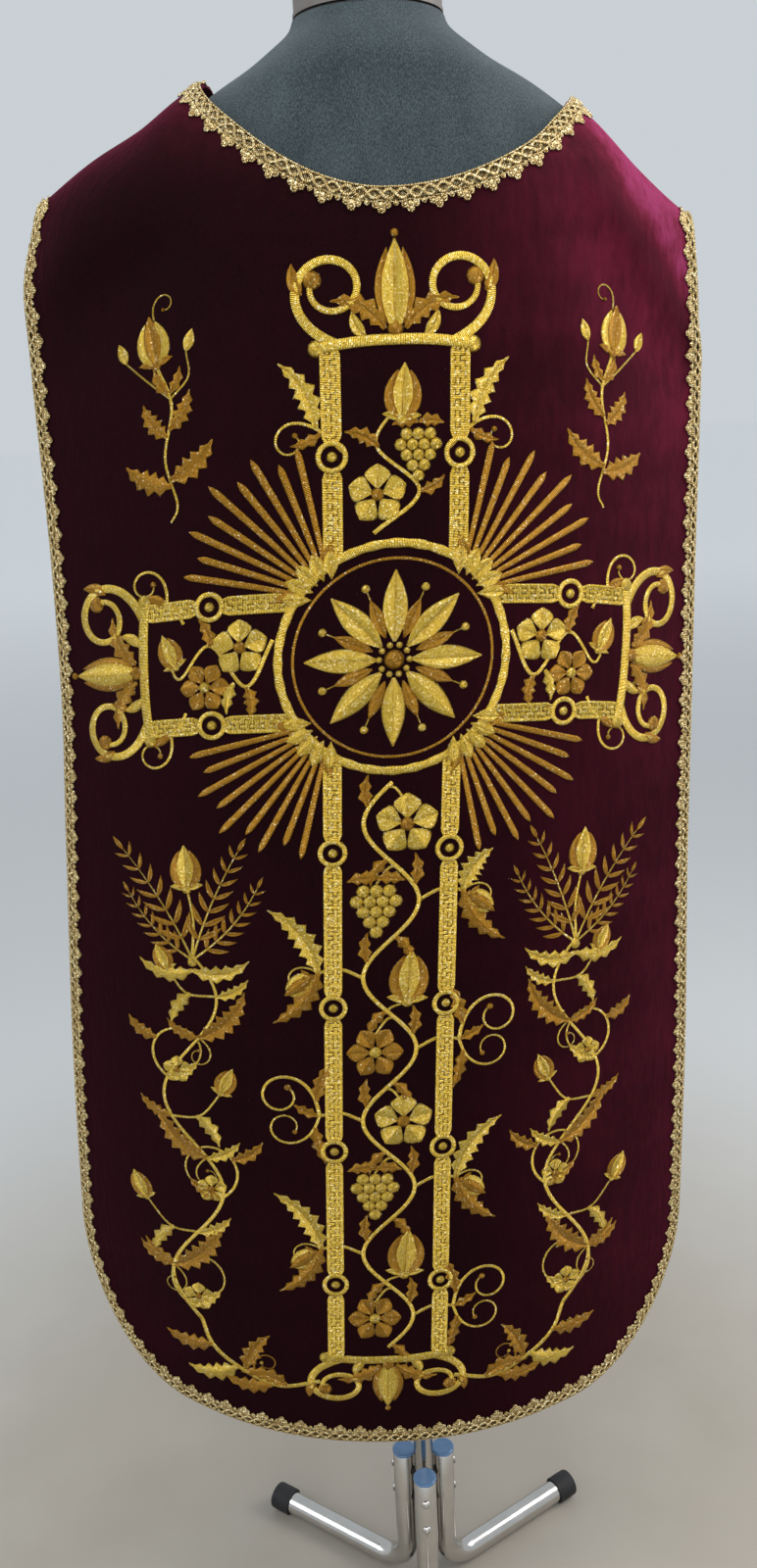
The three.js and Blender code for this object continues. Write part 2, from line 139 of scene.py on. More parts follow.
# %% [markdown]
# ## Small helpers for materials
#
# Each finish is a network of shader nodes. Two short classes keep the networks readable: Net
# adds nodes and links them, and Value is a node's output that can be added to or multiplied
# like a number, each sum or product being one more maths node.


# %% Wrappers round a node tree
class Value:
    """A node's output in a net."""

    def __init__(self, net, socket):
        self.net, self.socket = net, socket

    def __add__(self, other):
        return self.net.maths("ADD", self, other)

    def __sub__(self, other):
        return self.net.maths("SUBTRACT", self, other)

    def __mul__(self, other):
        return self.net.maths("MULTIPLY", self, other)

    __radd__, __rmul__ = __add__, __mul__


class Net:
    """Adds nodes to a tree. An input is given by name, as a number, a colour or an output."""

    def __init__(self, tree):
        self.tree = tree

    def add(self, kind, settings=None, **inputs):
        """A new node of this kind, with its settings and its inputs."""
        node = self.tree.nodes.new("ShaderNode" + kind)
        for key, value in (settings or {}).items():
            setattr(node, key, value)
        self.fill(node, **inputs)
        return node

    def fill(self, node, **inputs):
        """Inputs by name, with _ in place of a space."""
        for name, value in inputs.items():
            self.put(node.inputs[name.replace("_", " ")], value)

    def put(self, socket, value):
        """Links an output to the socket, or gives it a value of its own."""
        value = getattr(value, "socket", value)
        if isinstance(value, bpy.types.NodeSocket):
            self.tree.links.new(value, socket)
        elif socket.type == "RGBA":
            socket.default_value = (*value, 1)  # colours are written as red, green and blue
        else:
            socket.default_value = value

    def maths(self, operation, *values, clamp=False):
        """A sum, a product or another operation on numbers or outputs."""
        node = self.add("Math", {"operation": operation, "use_clamp": clamp})
        for socket, value in zip(node.inputs, values):
            self.put(socket, value)
        return Value(self, node.outputs[0])

    def blend(self, share, low, high):
        """A colour between low and high."""
        node = self.add("Mix", {"data_type": "RGBA"}, Factor=share, A=low, B=high)
        return node.outputs["Result"]

    def ramp(self, value, low, high, low_out=0.0, high_out=1.0):
        """Maps value from low..high to low_out..high_out, smoothly and held at both ends."""
        node = self.add(
            "MapRange", {"interpolation_type": "SMOOTHSTEP"}, Value=value,
            From_Min=low, From_Max=high, To_Min=low_out, To_Max=high_out,
        )
        return Value(self, node.outputs["Result"])

    def place(self):
        """The object's own coordinates, in metres."""
        return self.add("TexCoord").outputs["Object"]

    def axis(self, name, vector=None):
        """One coordinate of a vector, or of the object's place."""
        split = self.add("SeparateXYZ", None, Vector=vector or self.place())
        return Value(self, split.outputs[name])

    def stretch(self, scale):
        """The object's place times scale, which squeezes a pattern along each axis."""
        return self.add("Mapping", None, Vector=self.place(), Scale=scale).outputs["Vector"]

    def noise(self, scale, detail=3.0, roughness=0.5, at=None):
        """Noise over the object's place. Three numbers as scale squeeze it along each axis."""
        if isinstance(scale, tuple):
            at, scale = self.stretch(scale), 1.0
        node = self.add(
            "TexNoise", None, Vector=at or self.place(), Scale=scale, Detail=detail,
            Roughness=roughness,
        )
        return Value(self, node.outputs["Fac"])

    def bump(self, height, strength, distance, **under):
        """The normal of a relief; Normal may give the finer relief that it lies on."""
        settings = dict(Height=height, Strength=strength, Distance=distance)
        return self.add("Bump", None, **settings, **under).outputs["Normal"]

    def effect(self, group, at, **values):
        """A shared effect's node with its own values. Returns its outputs by name."""
        node = self.add("Group", {"node_tree": group}, Vector=at, **values)
        return {socket.name: Value(self, socket) for socket in node.outputs}

    def surface(self, **inputs):
        """The inputs of the material's own shader."""
        self.fill(self.tree.nodes["Principled BSDF"], **inputs)


def new_material(name, **constants):
    """A material, with the constants on its shader, and its net."""
    material = bpy.data.materials.new(name)
    material.use_nodes = True
    net = Net(material.node_tree)
    net.surface(**constants)
    return material, net


def new_group(name, inputs, outputs):
    """A node group. inputs is {name: default}, with None for a vector, and each output is a
    number. Returns it with its net, its inputs by name and the sockets of its outputs."""
    group = bpy.data.node_groups.new(name, "ShaderNodeTree")
    for key, default in inputs.items():
        kind = "NodeSocketVector" if default is None else "NodeSocketFloat"
        socket = group.interface.new_socket(key, in_out="INPUT", socket_type=kind)
        if default is not None:
            socket.default_value = default
    for key in outputs:
        group.interface.new_socket(key, in_out="OUTPUT", socket_type="NodeSocketFloat")
    net = Net(group)
    given = group.nodes.new("NodeGroupInput").outputs
    result = group.nodes.new("NodeGroupOutput").inputs
    return group, net, {key: Value(net, given[key]) for key in inputs}, result


print("node wrappers ready")

# %% [markdown]
# Two effects turn up in several finishes. Metal thread is a fine spiral wound round a core,
# so it shows as close ridges with scattered sparks where a turn catches the light. Fibre is
# the speckle of a cloth seen close: tiny flecks, a little lighter or darker than the rest.


# %% Shared effects: metal thread and fibre
def thread_effect():
    """height = 0.22 · sin(ridges · u) + grain, with u the length along the thread, and
    spark = how far the grain, a millimetre or two across, is over a level."""
    group, net, given, result = new_group(
        "metal_thread", {"Vector": None, "Ridges": 4.0, "Spark level": 0.60},
        ("Height", "Spark", "Shade"),
    )
    turns = net.maths("SINE", net.axis("X", given["Vector"]) * given["Ridges"])
    grain = net.noise(560.0, 3.0, 0.7)
    net.put(result["Height"], turns * 0.22 + grain)
    over = grain - given["Spark level"]
    net.put(result["Spark"], net.maths("MULTIPLY", over, 14.0, clamp=True))
    net.put(result["Shade"], net.noise(150.0, 2.0))
    return group


def fibre_effect():
    """Flecks of noise, and a finer grain added to them for the relief."""
    group, net, given, result = new_group(
        "fibre", {"Vector": None, "Scale": 900.0}, ("Fleck", "Height")
    )
    fleck = net.noise(given["Scale"], 3.0, at=given["Vector"])
    fine = net.noise(given["Scale"] * 2.3, 2.0, at=given["Vector"])
    net.put(result["Fleck"], fleck)
    net.put(result["Height"], fleck + fine)
    return group


METAL_THREAD, FIBRE = thread_effect(), fibre_effect()
print("shared effects:", METAL_THREAD.name, FIBRE.name)

# %% [markdown]
# ## The finishes
#
# The velvet's pile stands up from the cloth. Sheen gives the bright rim where the pile turns to
# the light, over a base that is almost black. The nap also lies in long streaks down the cloth,
# and a few specks of lint sit on it. Light and shade are painted into the colour too: lighter to
# the right and along the top, with a painted highlight over a fold off the right shoulder and a
# painted shadow under it.

# %% Velvet and its lining
# A line falling off the right shoulder, with a painted highlight above it and a painted shadow
# below it in the velvet's colour.
FOLD_X, FOLD_Z = 0.262, 1.385  # metres: a place on the fold's line at the right edge
FOLD_FALL = 1.39  # how steeply that line falls to the right
FOLD_PAINTED_HIGHLIGHT, FOLD_PAINTED_SHADOW = 0.04, 0.05  # width of the lit band over the line and the dark one under


def velvet():
    """The colour goes from nearly black to wine with painted light times the nap's noise, from 0
    to 1.
    The painted light grows to the right, upwards and along the top; over the fold's line it adds a
    painted highlight and under it a painted shadow, and where it is strongest the wine turns
    purple, a painted sheen."""
    material, net = new_material(
        "wine_velvet", Roughness=0.75, Sheen_Weight=0.25, Sheen_Roughness=0.30,
        Sheen_Tint=(0.80, 0.045, 0.21), Specular_IOR_Level=0.03,
    )
    x, z = net.axis("X"), net.axis("Z")
    # Painted light: the colour is lighter to the right, upwards and along the top.
    lit = net.ramp(x, 0.0, 0.36) * (net.ramp(z, 1.10, 1.58) * 0.72 + 0.19)
    lit = lit + net.ramp(z, 1.50, 1.60, 0.0, 0.20)
    # Over the fold's line a painted highlight, under it a painted shadow.
    over = (x - FOLD_X) * FOLD_FALL + z - FOLD_Z
    painted_fold_highlight = net.ramp(over, 0.0, FOLD_PAINTED_HIGHLIGHT)
    dark = net.ramp(over, -FOLD_PAINTED_SHADOW, 0.0) * net.ramp(over, 0.0, FOLD_PAINTED_HIGHLIGHT, 1.0, 0.0)
    lit = lit + (painted_fold_highlight * 0.26 - dark * 0.24) * net.ramp(x, 0.10, 0.22)
    streaks = net.noise((120, 120, 42), 6.0, 0.66)
    clouds = net.noise((6.5, 6.5, 3.2))
    creases = net.noise((3.5, 3.5, 17), 2.0)
    nap = net.ramp(streaks * 0.32 + clouds * 0.60 + creases * 0.28, 0.46, 0.78, 0.5, 1.5)
    # Painted light times the nap's noise.
    painted_light_and_nap = net.maths("MULTIPLY", lit + 0.02, nap, clamp=True)
    pile = net.effect(FIBRE, net.place(), Scale=1500.0)
    fleck = net.ramp(pile["Fleck"], 0.52, 0.8, 0.0, 0.22)
    lint = net.maths("GREATER_THAN", net.noise(420.0, 1.0), 0.845)
    colour = net.blend(painted_light_and_nap, (0.0036, 0.0008, 0.0011), (0.170, 0.0130, 0.038))
    # Where the painted light is strongest the wine turns purple: a painted sheen.
    colour = net.blend(net.ramp(painted_light_and_nap, 0.45, 1.05), colour, (0.190, 0.0250, 0.080))
    colour = net.blend(fleck, colour, (0.110, 0.012, 0.030))
    colour = net.blend(lint * 0.3, colour, (0.35, 0.22, 0.26))
    fine = net.bump(pile["Height"], 0.22, 0.0006)
    relief = net.bump(streaks + clouds + creases, 0.35, 0.004, Normal=fine)
    net.surface(Base_Color=colour, Normal=relief)
    return material


def lining():
    """Two close wines mixed by the flecks of the weave."""
    material, net = new_material(
        "wine_lining", Roughness=0.60, Sheen_Weight=0.10, Sheen_Tint=(0.70, 0.05, 0.16),
        Specular_IOR_Level=0.10,
    )
    weave = net.effect(FIBRE, net.stretch((1, 1, 0.4)), Scale=1300.0)
    colour = net.blend(weave["Fleck"], (0.036, 0.0030, 0.0080), (0.085, 0.0065, 0.018))
    net.surface(Base_Color=colour, Normal=net.bump(weave["Height"], 0.2, 0.0004))
    return material


VELVET, LINING = velvet(), lining()
print("cloth finishes:", VELVET.name, LINING.name)

# %% [markdown]
# The braid and the embroidery are metal thread. The braid is pale old gold; the embroidery has a
# bright gold and a bronze one. All read the thread's own length from the UV map. Light is painted
# into their colour too: a painted highlight on the thread's crests, painted shade in the hollows
# low on the cloth, and pale painted glints at the sparks.


# %% Metal threads
def gold_thread(name, light, middle, dark, roughness, relief, ridges, spark_level):
    """light is a painted highlight colour on the thread's crests, middle the colour of its flanks
    and dark a painted shade colour in the hollows; "rise" is stored on the mesh and says how high
    a point stands off the cloth, and the low points get the painted shade. The sparks are painted
    glints."""
    material, net = new_material(name, Metallic=0.88, Specular_IOR_Level=0.3)
    along = net.add("UVMap", {"uv_map": "thread"}).outputs["UV"]
    thread = net.effect(METAL_THREAD, along, Ridges=ridges, Spark_level=spark_level)
    rise = net.add("Attribute", {"attribute_name": "rise"}).outputs["Fac"]
    # Painted highlight on the thread's crests, and painted shade in the hollows where rise is low.
    painted_crest_highlight = net.ramp(thread["Height"], 0.34, 0.60) * net.ramp(thread["Shade"], 0.3, 0.7, 0.75, 1.0)
    colour = net.blend(net.ramp(rise, 0.0, 0.62), dark, net.blend(painted_crest_highlight, middle, light))
    # The sparks turn the colour pale: painted glints.
    net.surface(
        Base_Color=net.blend(thread["Spark"] * 0.9, colour, (1.0, 0.93, 0.62)),
        Roughness=net.ramp(thread["Spark"], 0.0, 1.0, roughness, roughness * 0.6),
        Normal=net.bump(thread["Height"], relief, 0.0012),
    )
    return material


# Colours: painted highlight on the crests, the flanks, painted shade in the hollows.
BRAID_GOLD = gold_thread(
    "old_gold_braid", (0.68, 0.505, 0.225), (0.22, 0.140, 0.045), (0.026, 0.014, 0.005),
    0.27, 1.0, 4.2, 0.535,
)
BRIGHT_GOLD = gold_thread(
    "bright_gold_thread", (0.88, 0.65, 0.10), (0.34, 0.185, 0.012), (0.075, 0.036, 0.003),
    0.36, 1.0, 5.0, 0.575,
)
BRONZE_GOLD = gold_thread(
    "bronze_gold_thread", (0.47, 0.245, 0.026), (0.20, 0.085, 0.007), (0.050, 0.020, 0.002),
    0.40, 0.9, 5.0, 0.61,
)
print("threads:", BRAID_GOLD.name, BRIGHT_GOLD.name, BRONZE_GOLD.name)

# %% [markdown]
# The form wears a flecked charcoal jersey with a dark seam under its cap, which is dull
# moulded plastic. The stand is chromed tube with black rubber ends and blue plugs.

# %% Jersey, plastics, rubber and chrome
NECK_SEAM = 1.6345  # height of the jersey's top seam, in metres


def jersey():
    """Two greys mixed by flecks and wider patches, and a dark line at the seam's height."""
    material, net = new_material(
        "charcoal_jersey", Roughness=0.95, Sheen_Weight=0.16, Sheen_Roughness=0.5,
        Sheen_Tint=(0.6, 0.68, 0.72), Specular_IOR_Level=0.15,
    )
    knit = net.effect(FIBRE, net.stretch((1, 1, 0.4)), Scale=1250.0)
    shade = net.ramp(knit["Fleck"] + net.noise((26, 26, 8)) * 0.3, 0.46, 0.92)
    colour = net.blend(shade, (0.016, 0.024, 0.028), (0.056, 0.074, 0.082))
    off_seam = net.ramp(net.maths("ABSOLUTE", net.axis("Z") - NECK_SEAM), 0.0004, 0.0016)
    colour = net.blend(off_seam, (0.006, 0.007, 0.008), colour)
    net.surface(Base_Color=colour, Normal=net.bump(knit["Height"], 0.5, 0.0006))
    return material


def moulded(name, low, high, roughness, grain, **constants):
    """A moulded surface: two close colours mixed by noise, and a fine grain in the relief."""
    material, net = new_material(name, **constants)
    texture = net.effect(FIBRE, net.place(), Scale=grain)
    worn = net.noise(60.0, 4.0)
    net.surface(
        Base_Color=net.blend(worn, low, high),
        Roughness=net.ramp(worn, 0.3, 0.7, roughness * 0.85, roughness * 1.15),
        Normal=net.bump(texture["Height"], 0.15, 0.0003),
    )
    return material


def floor_paint():
    """Warm grey round the stand, and far out as pale as the surroundings, to hide the
    horizon: two ramps of the distance from the pole, in metres."""
    material, net = new_material("floor_paint", Roughness=0.6)
    away = net.add("VectorMath", {"operation": "LENGTH"}, Vector=net.place()).outputs["Value"]
    near = net.blend(net.noise(7.0, 4.0), (0.27, 0.245, 0.205), (0.34, 0.315, 0.275))
    pale = net.blend(net.ramp(away, 1.3, 9.0), (0.50, 0.515, 0.525), (0.97, 0.98, 0.99))
    net.surface(Base_Color=net.blend(net.ramp(away, 0.4, 1.6), near, pale))
    return material


JERSEY = jersey()
CAP_PLASTIC = moulded(
    "neck_cap_plastic", (0.075, 0.066, 0.060), (0.125, 0.112, 0.102), 0.55, 500.0
)
BLACK_RUBBER = moulded(
    "black_rubber", (0.006, 0.006, 0.007), (0.020, 0.020, 0.022), 0.62, 900.0,
    Specular_IOR_Level=0.35,
)
PLUG_BLUE = moulded(
    "blue_plug", (0.055, 0.135, 0.27), (0.095, 0.20, 0.37), 0.28, 260.0,
    Coat_Weight=0.5, Coat_Roughness=0.12,
)
CHROME = moulded("chrome", (0.50, 0.485, 0.46), (0.64, 0.62, 0.59), 0.16, 320.0, Metallic=1.0)
FLOOR_PAINT = floor_paint()
print("finishes:", len(bpy.data.materials))

# %% [markdown]
# ## Meshes from arrays
#
# Every new piece is a set of numpy arrays: points, and rows of corner numbers. Most are
# sweeps, a closed section carried along a path. The faces of a sweep only depend on how many
# sections and how many sides it has, so one function serves tubes, leaves, petals and beads.


# %% Sweeps and mesh objects
def sweep_faces(stations, sides, ring=False):
    """Quads between neighbouring sections, and a face at each end unless the sweep is a ring."""
    station = np.arange(stations if ring else stations - 1)[:, None]
    side = np.arange(sides)[None, :]
    here = station * sides
    ahead = ((station + 1) % stations) * sides
    after = (side + 1) % sides
    quads = np.stack([here + side, here + after, ahead + after, ahead + side], -1)
    blocks = [quads.reshape(-1, 4)]
    if not ring:
        blocks.append(np.arange(sides)[None, ::-1])
        blocks.append((stations - 1) * sides + np.arange(sides)[None, :])
    return blocks


class Shapes:
    """Gathers closed shapes into one mesh: points, faces by corner count, UVs, materials."""

    def __init__(self):
        self.points, self.uvs, self.faces, self.count = [], [], [], 0

    def add(self, points, blocks, uv=None, material=0):
        """points is (copies, stations, sides, 3) or without the first axis."""
        points = np.asarray(points, float)
        if points.ndim == 3:
            points = points[None]
            uv = None if uv is None else uv[None]
        copies = len(points)
        each = points.shape[1] * points.shape[2]
        starts = self.count + each * np.arange(copies)
        for block in blocks:
            rows = (block[None] + starts[:, None, None]).reshape(-1, block.shape[1])
            self.faces.append((rows, material))
        self.points.append(points.reshape(-1, 3))
        uv = np.zeros((copies * each, 2)) if uv is None else np.asarray(uv, float)
        self.uvs.append(uv.reshape(-1, 2))
        self.count += copies * each

    def all_points(self):
        """The points of all the shapes, in the order in which they were added."""
        return np.concatenate(self.points)


def signed_volume(points, faces):
    """Six times the volume, as the sum of the fans' triple products: below zero inside out."""
    total = 0.0
    for rows, _ in faces:
        first = points[rows[:, 0]]
        for k in range(1, rows.shape[1] - 1):
            crossed = np.cross(points[rows[:, k]], points[rows[:, k + 1]])
            total += np.einsum("ij,ij->", first, crossed)
    return total


def mesh_object(name, points, shapes, materials, slot=None, replaces=(), crease=None, rise=None):
    """An object whose faces point outwards. With a slot it rides on the part's one body.
    crease is the angle in degrees beyond which an edge stays sharp, and rise is a value for
    each point, from 0 on the cloth to 1 at the top, that the thread's finish reads to paint
    shade on the low points."""
    faces = shapes.faces
    if signed_volume(points, faces) < 0:
        faces = [(rows[:, ::-1], material) for rows, material in faces]
    corners = np.concatenate([rows.ravel() for rows, _ in faces])
    totals = np.concatenate([np.full(len(rows), rows.shape[1]) for rows, _ in faces])
    indices = np.concatenate([np.full(len(rows), material) for rows, material in faces])
    mesh = bpy.data.meshes.new(name)
    mesh.vertices.add(len(points))
    mesh.vertices.foreach_set("co", (points * MM).astype(np.float32).ravel())
    mesh.loops.add(len(corners))
    mesh.loops.foreach_set("vertex_index", corners.astype(np.int32))
    mesh.polygons.add(len(totals))
    starts = np.concatenate([[0], np.cumsum(totals)[:-1]])
    mesh.polygons.foreach_set("loop_start", starts.astype(np.int32))
    mesh.polygons.foreach_set("material_index", indices.astype(np.int32))
    uv = np.concatenate(shapes.uvs)[corners]
    mesh.update(calc_edges=True)
    layer = mesh.uv_layers.new(name="thread")
    layer.uv.foreach_set("vector", uv.astype(np.float32).ravel())
    # rise: the thread's finish paints shade where it is low.
    if rise is not None:
        stored = mesh.attributes.new("rise", "FLOAT", "POINT")
        stored.data.foreach_set("value", np.clip(rise, 0, 1).astype(np.float32))
    mesh.validate()
    mesh.shade_smooth()
    if crease is not None:
        mesh.set_sharp_from_angle(angle=radians(crease))
    for material in materials:
        mesh.materials.append(material)
    piece = bpy.data.objects.new(name, mesh)
    bpy.context.scene.collection.objects.link(piece)
    if slot:
        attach(piece, "root")
    if replaces:
        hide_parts(*replaces)
    triangles = int((totals - 2).sum())
    print(f"{name}: {triangles} triangles")
    return piece


# %% [markdown]
# The floor is a wide flat slab, so that its edge is out of sight.

# %% Floor
FLOOR_HALF = 30000.0
FLOOR_THICK = 40.0


def floor_slab():
    """A box as a sweep of two squares."""
    corners = np.array([(-1, -1), (1, -1), (1, 1), (-1, 1)]) * FLOOR_HALF
    rings = np.stack([np.column_stack([corners, np.full(4, z)]) for z in (-FLOOR_THICK, 0.0)])
    shapes = Shapes()
    shapes.add(rings, sweep_faces(2, 4))
    return mesh_object("floor", shapes.all_points(), shapes, [FLOOR_PAINT], crease=30)


floor = floor_slab()

# %% [markdown]
# ## The cloth's surface
#
# Both panels hang from the line over the shoulders. A place on a panel has two values:
# across, from -1 at its left edge to 1 at its right, and drop, the millimetres down the cloth
# from the shoulder line. Short tables say where the edges are and how far the cloth stands
# out at each drop, and a smooth curve through the rows gives the rest.


# %% Tables and the curve through them
def table(columns, *rows):
    """A short table whose columns are read by name."""
    return np.array(list(rows), dtype=[(name, float) for name in columns.split()])


def between(rows, key, column, at):
    """Cubic Hermite pieces through the rows. A row's slope is the harmonic mean of the two
    secants beside it, or zero where they change sign, so the curve never overshoots."""
    keys, values, at = rows[key], rows[column], np.asarray(at, float)
    secants = np.diff(values) / np.diff(keys)
    product, total = secants[:-1] * secants[1:], secants[:-1] + secants[1:]
    safe = np.where(product > 0, total, 1.0)
    slopes = np.where(product > 0, 2 * product / safe, 0.0)
    slopes = np.concatenate([secants[:1], slopes, secants[-1:]])
    i = np.clip(np.searchsorted(keys, at) - 1, 0, len(keys) - 2)
    span = keys[i + 1] - keys[i]
    t = (at - keys[i]) / span
    u = np.clip(t, 0, 1)
    inside = (
        (2 * u**3 - 3 * u**2 + 1) * values[i]
        + (u**3 - 2 * u**2 + u) * span * slopes[i]
        + (3 * u**2 - 2 * u**3) * values[i + 1]
        + (u**3 - u**2) * span * slopes[i + 1]
    )
    return inside + span * (np.minimum(t, 0) * slopes[i] + np.maximum(t - 1, 0) * slopes[i + 1])


CLOTH_WALL = 2.4
CLOTH_SEAM = 0.7
EDGE_TURN = 20.0  # height of a column's turn at the panel's two sides
SHOULDER_LINE = table(
    "x z",
    (-271, 1513), (-221, 1543), (-180, 1563), (-129, 1593), (-60, 1607), (60, 1606),
    (158, 1571.5), (176, 1556), (207, 1522), (232, 1501), (258, 1482),
)
NECK_LEFT, NECK_MIDDLE, NECK_RIGHT = -129, 14, 158
print("shoulder line rows:", len(SHOULDER_LINE))


# %% [markdown]
# A column of cloth leaves the shoulder line level, turns down through a quarter ellipse and
# then hangs. Folds are added on top: each is a bell-shaped rise across a straight line.


# %% A cloth panel as a function of across and drop
class Panel:
    """The outer face of a hanging panel. across goes from -1 at its left side to 1 at its
    right, and drop is the length down the cloth from the shoulder line."""

    def __init__(self, side, levels, folds, turn_middle, neck, hem):
        self.side = side  # -1 where the panel faces -Y
        self.levels = levels
        self.folds = folds
        self.turn_middle = turn_middle
        self.neck = neck
        self.hem = hem

    def level(self, column, drop):
        """One column of the panel's table, at a drop."""
        return between(self.levels, "drop", column, drop)

    def x(self, across, drop):
        """x goes in proportion to across, from the left side at this drop to the right side."""
        left, right = self.level("left", drop), self.level("right", drop)
        return left + (right - left) * (across + 1) / 2

    def across_at(self, x):
        """The across of the column that starts at this x of the shoulder line."""
        left, right = self.level("left", 0), self.level("right", 0)
        return 2 * (x - left) / (right - left) - 1

    @staticmethod
    def crown(across):
        """1 along the panel's middle, falling to 0 at its two sides."""
        return 1 - np.abs(across) ** 2.2

    def depth(self, across, drop):
        """Distance from the plane y = 0: edge + (middle - edge) · crown."""
        middle, edge = self.level("middle", drop), self.level("edge", drop)
        return edge + (middle - edge) * self.crown(across)

    def turn(self, across):
        """Height and length of the quarter ellipse in which a column turns down."""
        height = EDGE_TURN + (self.turn_middle - EDGE_TURN) * self.crown(across)
        return height, pi / 2 * np.sqrt((height**2 + self.depth(across, 0) ** 2) / 2)

    def smooth(self, across, drop):
        """The face without its folds. In the turn an angle grows from 0 to 90 degrees, with
        y = depth · sin and z = top - height · (1 - cos), and below it the column hangs."""
        top = between(SHOULDER_LINE, "x", "z", self.x(across, 0))
        height, length = self.turn(across)
        angle = pi / 2 * np.minimum(drop / length, 1)
        y = self.side * self.depth(across, drop) * np.sin(angle)
        z = top - height * (1 - np.cos(angle)) - np.maximum(drop - length, 0)
        return np.stack([self.x(across, drop), y, z], -1)

    def normal_of(self, surface, across, drop):
        """The unit normal from two short differences, turned to the outside."""
        along_x = surface(across + 0.001, drop) - surface(across - 0.001, drop)
        along_z = surface(across, drop + 0.25) - surface(across, drop - 0.25)
        normal = self.side * np.cross(along_x, along_z)
        return normal / np.linalg.norm(normal, axis=-1, keepdims=True)

    def fold_rise(self, point):
        """The sum over the folds of rise times a bell across its line, faded at the ends."""
        rise = np.zeros(point.shape[:-1])
        for fold in self.folds:
            along = np.array([fold["x1"] - fold["x0"], fold["z1"] - fold["z0"]])
            length = hypot(*along)
            fx, fz = point[..., 0] - fold["x0"], point[..., 2] - fold["z0"]
            t = (fx * along[0] + fz * along[1]) / length**2
            away = (fx * along[1] - fz * along[0]) / length
            fade = np.exp(-((np.abs(t - 0.5) / 0.55) ** 4))
            rise += fold["rise"] * fade * np.exp(-((away / fold["width"]) ** 2))
        return rise

    def point(self, across, drop):
        """The smooth face, moved out along its normal by the folds' rise."""
        smooth = self.smooth(across, drop)
        normal = self.normal_of(self.smooth, across, drop)
        return smooth + normal * self.fold_rise(smooth)[..., None]

    def normal(self, across, drop):
        """The outward normal of the face with its folds."""
        return self.normal_of(self.point, across, drop)

    def place(self, across, drop, lift):
        """Points standing lift millimetres off the cloth."""
        across, drop = np.broadcast_arrays(across, drop)
        return self.point(across, drop) + self.normal(across, drop) * np.asarray(lift)[..., None]

    def neckline(self, across):
        """The drop at which the neck opening is cut, zero outside it."""
        x = self.x(across, 0)
        left = x < NECK_MIDDLE
        end = np.where(left, NECK_LEFT, NECK_RIGHT)
        power = np.where(left, self.neck["left"], self.neck["right"])
        t = (x - NECK_MIDDLE) / (end - NECK_MIDDLE)
        top = between(SHOULDER_LINE, "x", "z", end)
        z = top - (top - self.neck["low"]) * np.maximum(1 - t**2, 0) ** power
        height, length = self.turn(across)
        fallen = (between(SHOULDER_LINE, "x", "z", x) - z) / height
        cut = length * np.arccos(np.clip(1 - np.minimum(fallen, 1), -1, 1)) / (pi / 2)
        return np.where(t >= 1, 0.0, cut)

    def hemline(self, across):
        """The drop at the hem: a shallow bow between two quarter-ellipse corners."""
        hem = self.hem
        into = np.maximum((np.abs(across) - hem["corner"]) / (1 - hem["corner"]), 0)
        rounded = hem["corner_height"] * (1 - np.sqrt(np.maximum(1 - into**2, 0)))
        low = hem["z"] + hem["bow"] * across**2 + hem["tilt"] * across + rounded
        height, length = self.turn(across)
        return length + between(SHOULDER_LINE, "x", "z", self.x(across, 0)) - height - low


print("panel surface ready")

# %% Sizes of the back and the front
back = Panel(
    side=-1,
    levels=table(
        "drop left right middle edge",
        (0, -271, 258, 118, 12), (80, -291, 263, 118, 12), (120, -294, 270, 118, 11),
        (280, -297, 271, 119, 9), (410, -302, 272, 121, 10), (550, -314, 273, 124, 11),
        (810, -336, 278, 130, 11), (1150, -355, 278, 136, 12),
    ),
    folds=table(
        "x0 z0 x1 z1 rise width",
        (-172, 1520, -282, 1436, 6, 27), (-150, 1478, -262, 1392, -4, 30),
        (178, 1530, 262, 1400, 5, 28), (148, 1496, 236, 1356, -4, 32),
    ),
    turn_middle=140,
    neck={"low": 1500, "left": 1.0, "right": 0.84},
    hem={"z": 358, "bow": 34, "tilt": -13, "corner": 0.62, "corner_height": 150},
)
front = Panel(
    side=1,
    levels=table(
        "drop left right middle edge",
        (0, -271, 258, 124, 12), (12, -270, 257, 124, 14), (70, -258, 242, 126, 30),
        (170, -216, 196, 130, 62), (300, -204, 182, 130, 70), (430, -216, 190, 128, 66),
        (640, -256, 216, 128, 48), (860, -284, 232, 130, 36), (1150, -298, 236, 134, 32),
    ),
    folds=table(
        "x0 z0 x1 z1 rise width",
        (-170, 1516, -236, 1420, 6, 24), (176, 1520, 222, 1400, 6, 24),
        (-60, 1180, -110, 700, -4, 34), (30, 1150, 70, 680, 4, 36),
    ),
    turn_middle=130,
    neck={"low": 1482, "left": 0.8, "right": 0.6},
    hem={"z": 408, "bow": 30, "tilt": -10, "corner": 0.58, "corner_height": 140},
)
print("back hem drop at its middle:", round(float(back.hemline(0.0)), 1))

# %% [markdown]
# ## The two velvet panels
#
# A panel is one closed wall: the outer face on the surface above, the inner face 2.4 mm
# behind it, and a rim round the edge. Its columns crowd towards the edges and the ends of the
# neck opening, where the cloth turns most.


# %% Panel wall
def panel_columns(panel, shoulder, neck):
    """Values of across: even in the middle, closer together towards the neck's two ends."""
    left, right = panel.across_at(NECK_LEFT), panel.across_at(NECK_RIGHT)
    out = (np.arange(shoulder) / shoulder) ** 1.25
    middle = (left + right) / 2 - (right - left) / 2 * np.cos(pi * np.arange(neck + 1) / neck)
    return np.concatenate([-1 + (left + 1) * out, middle, (1 - (1 - right) * out)[::-1]])


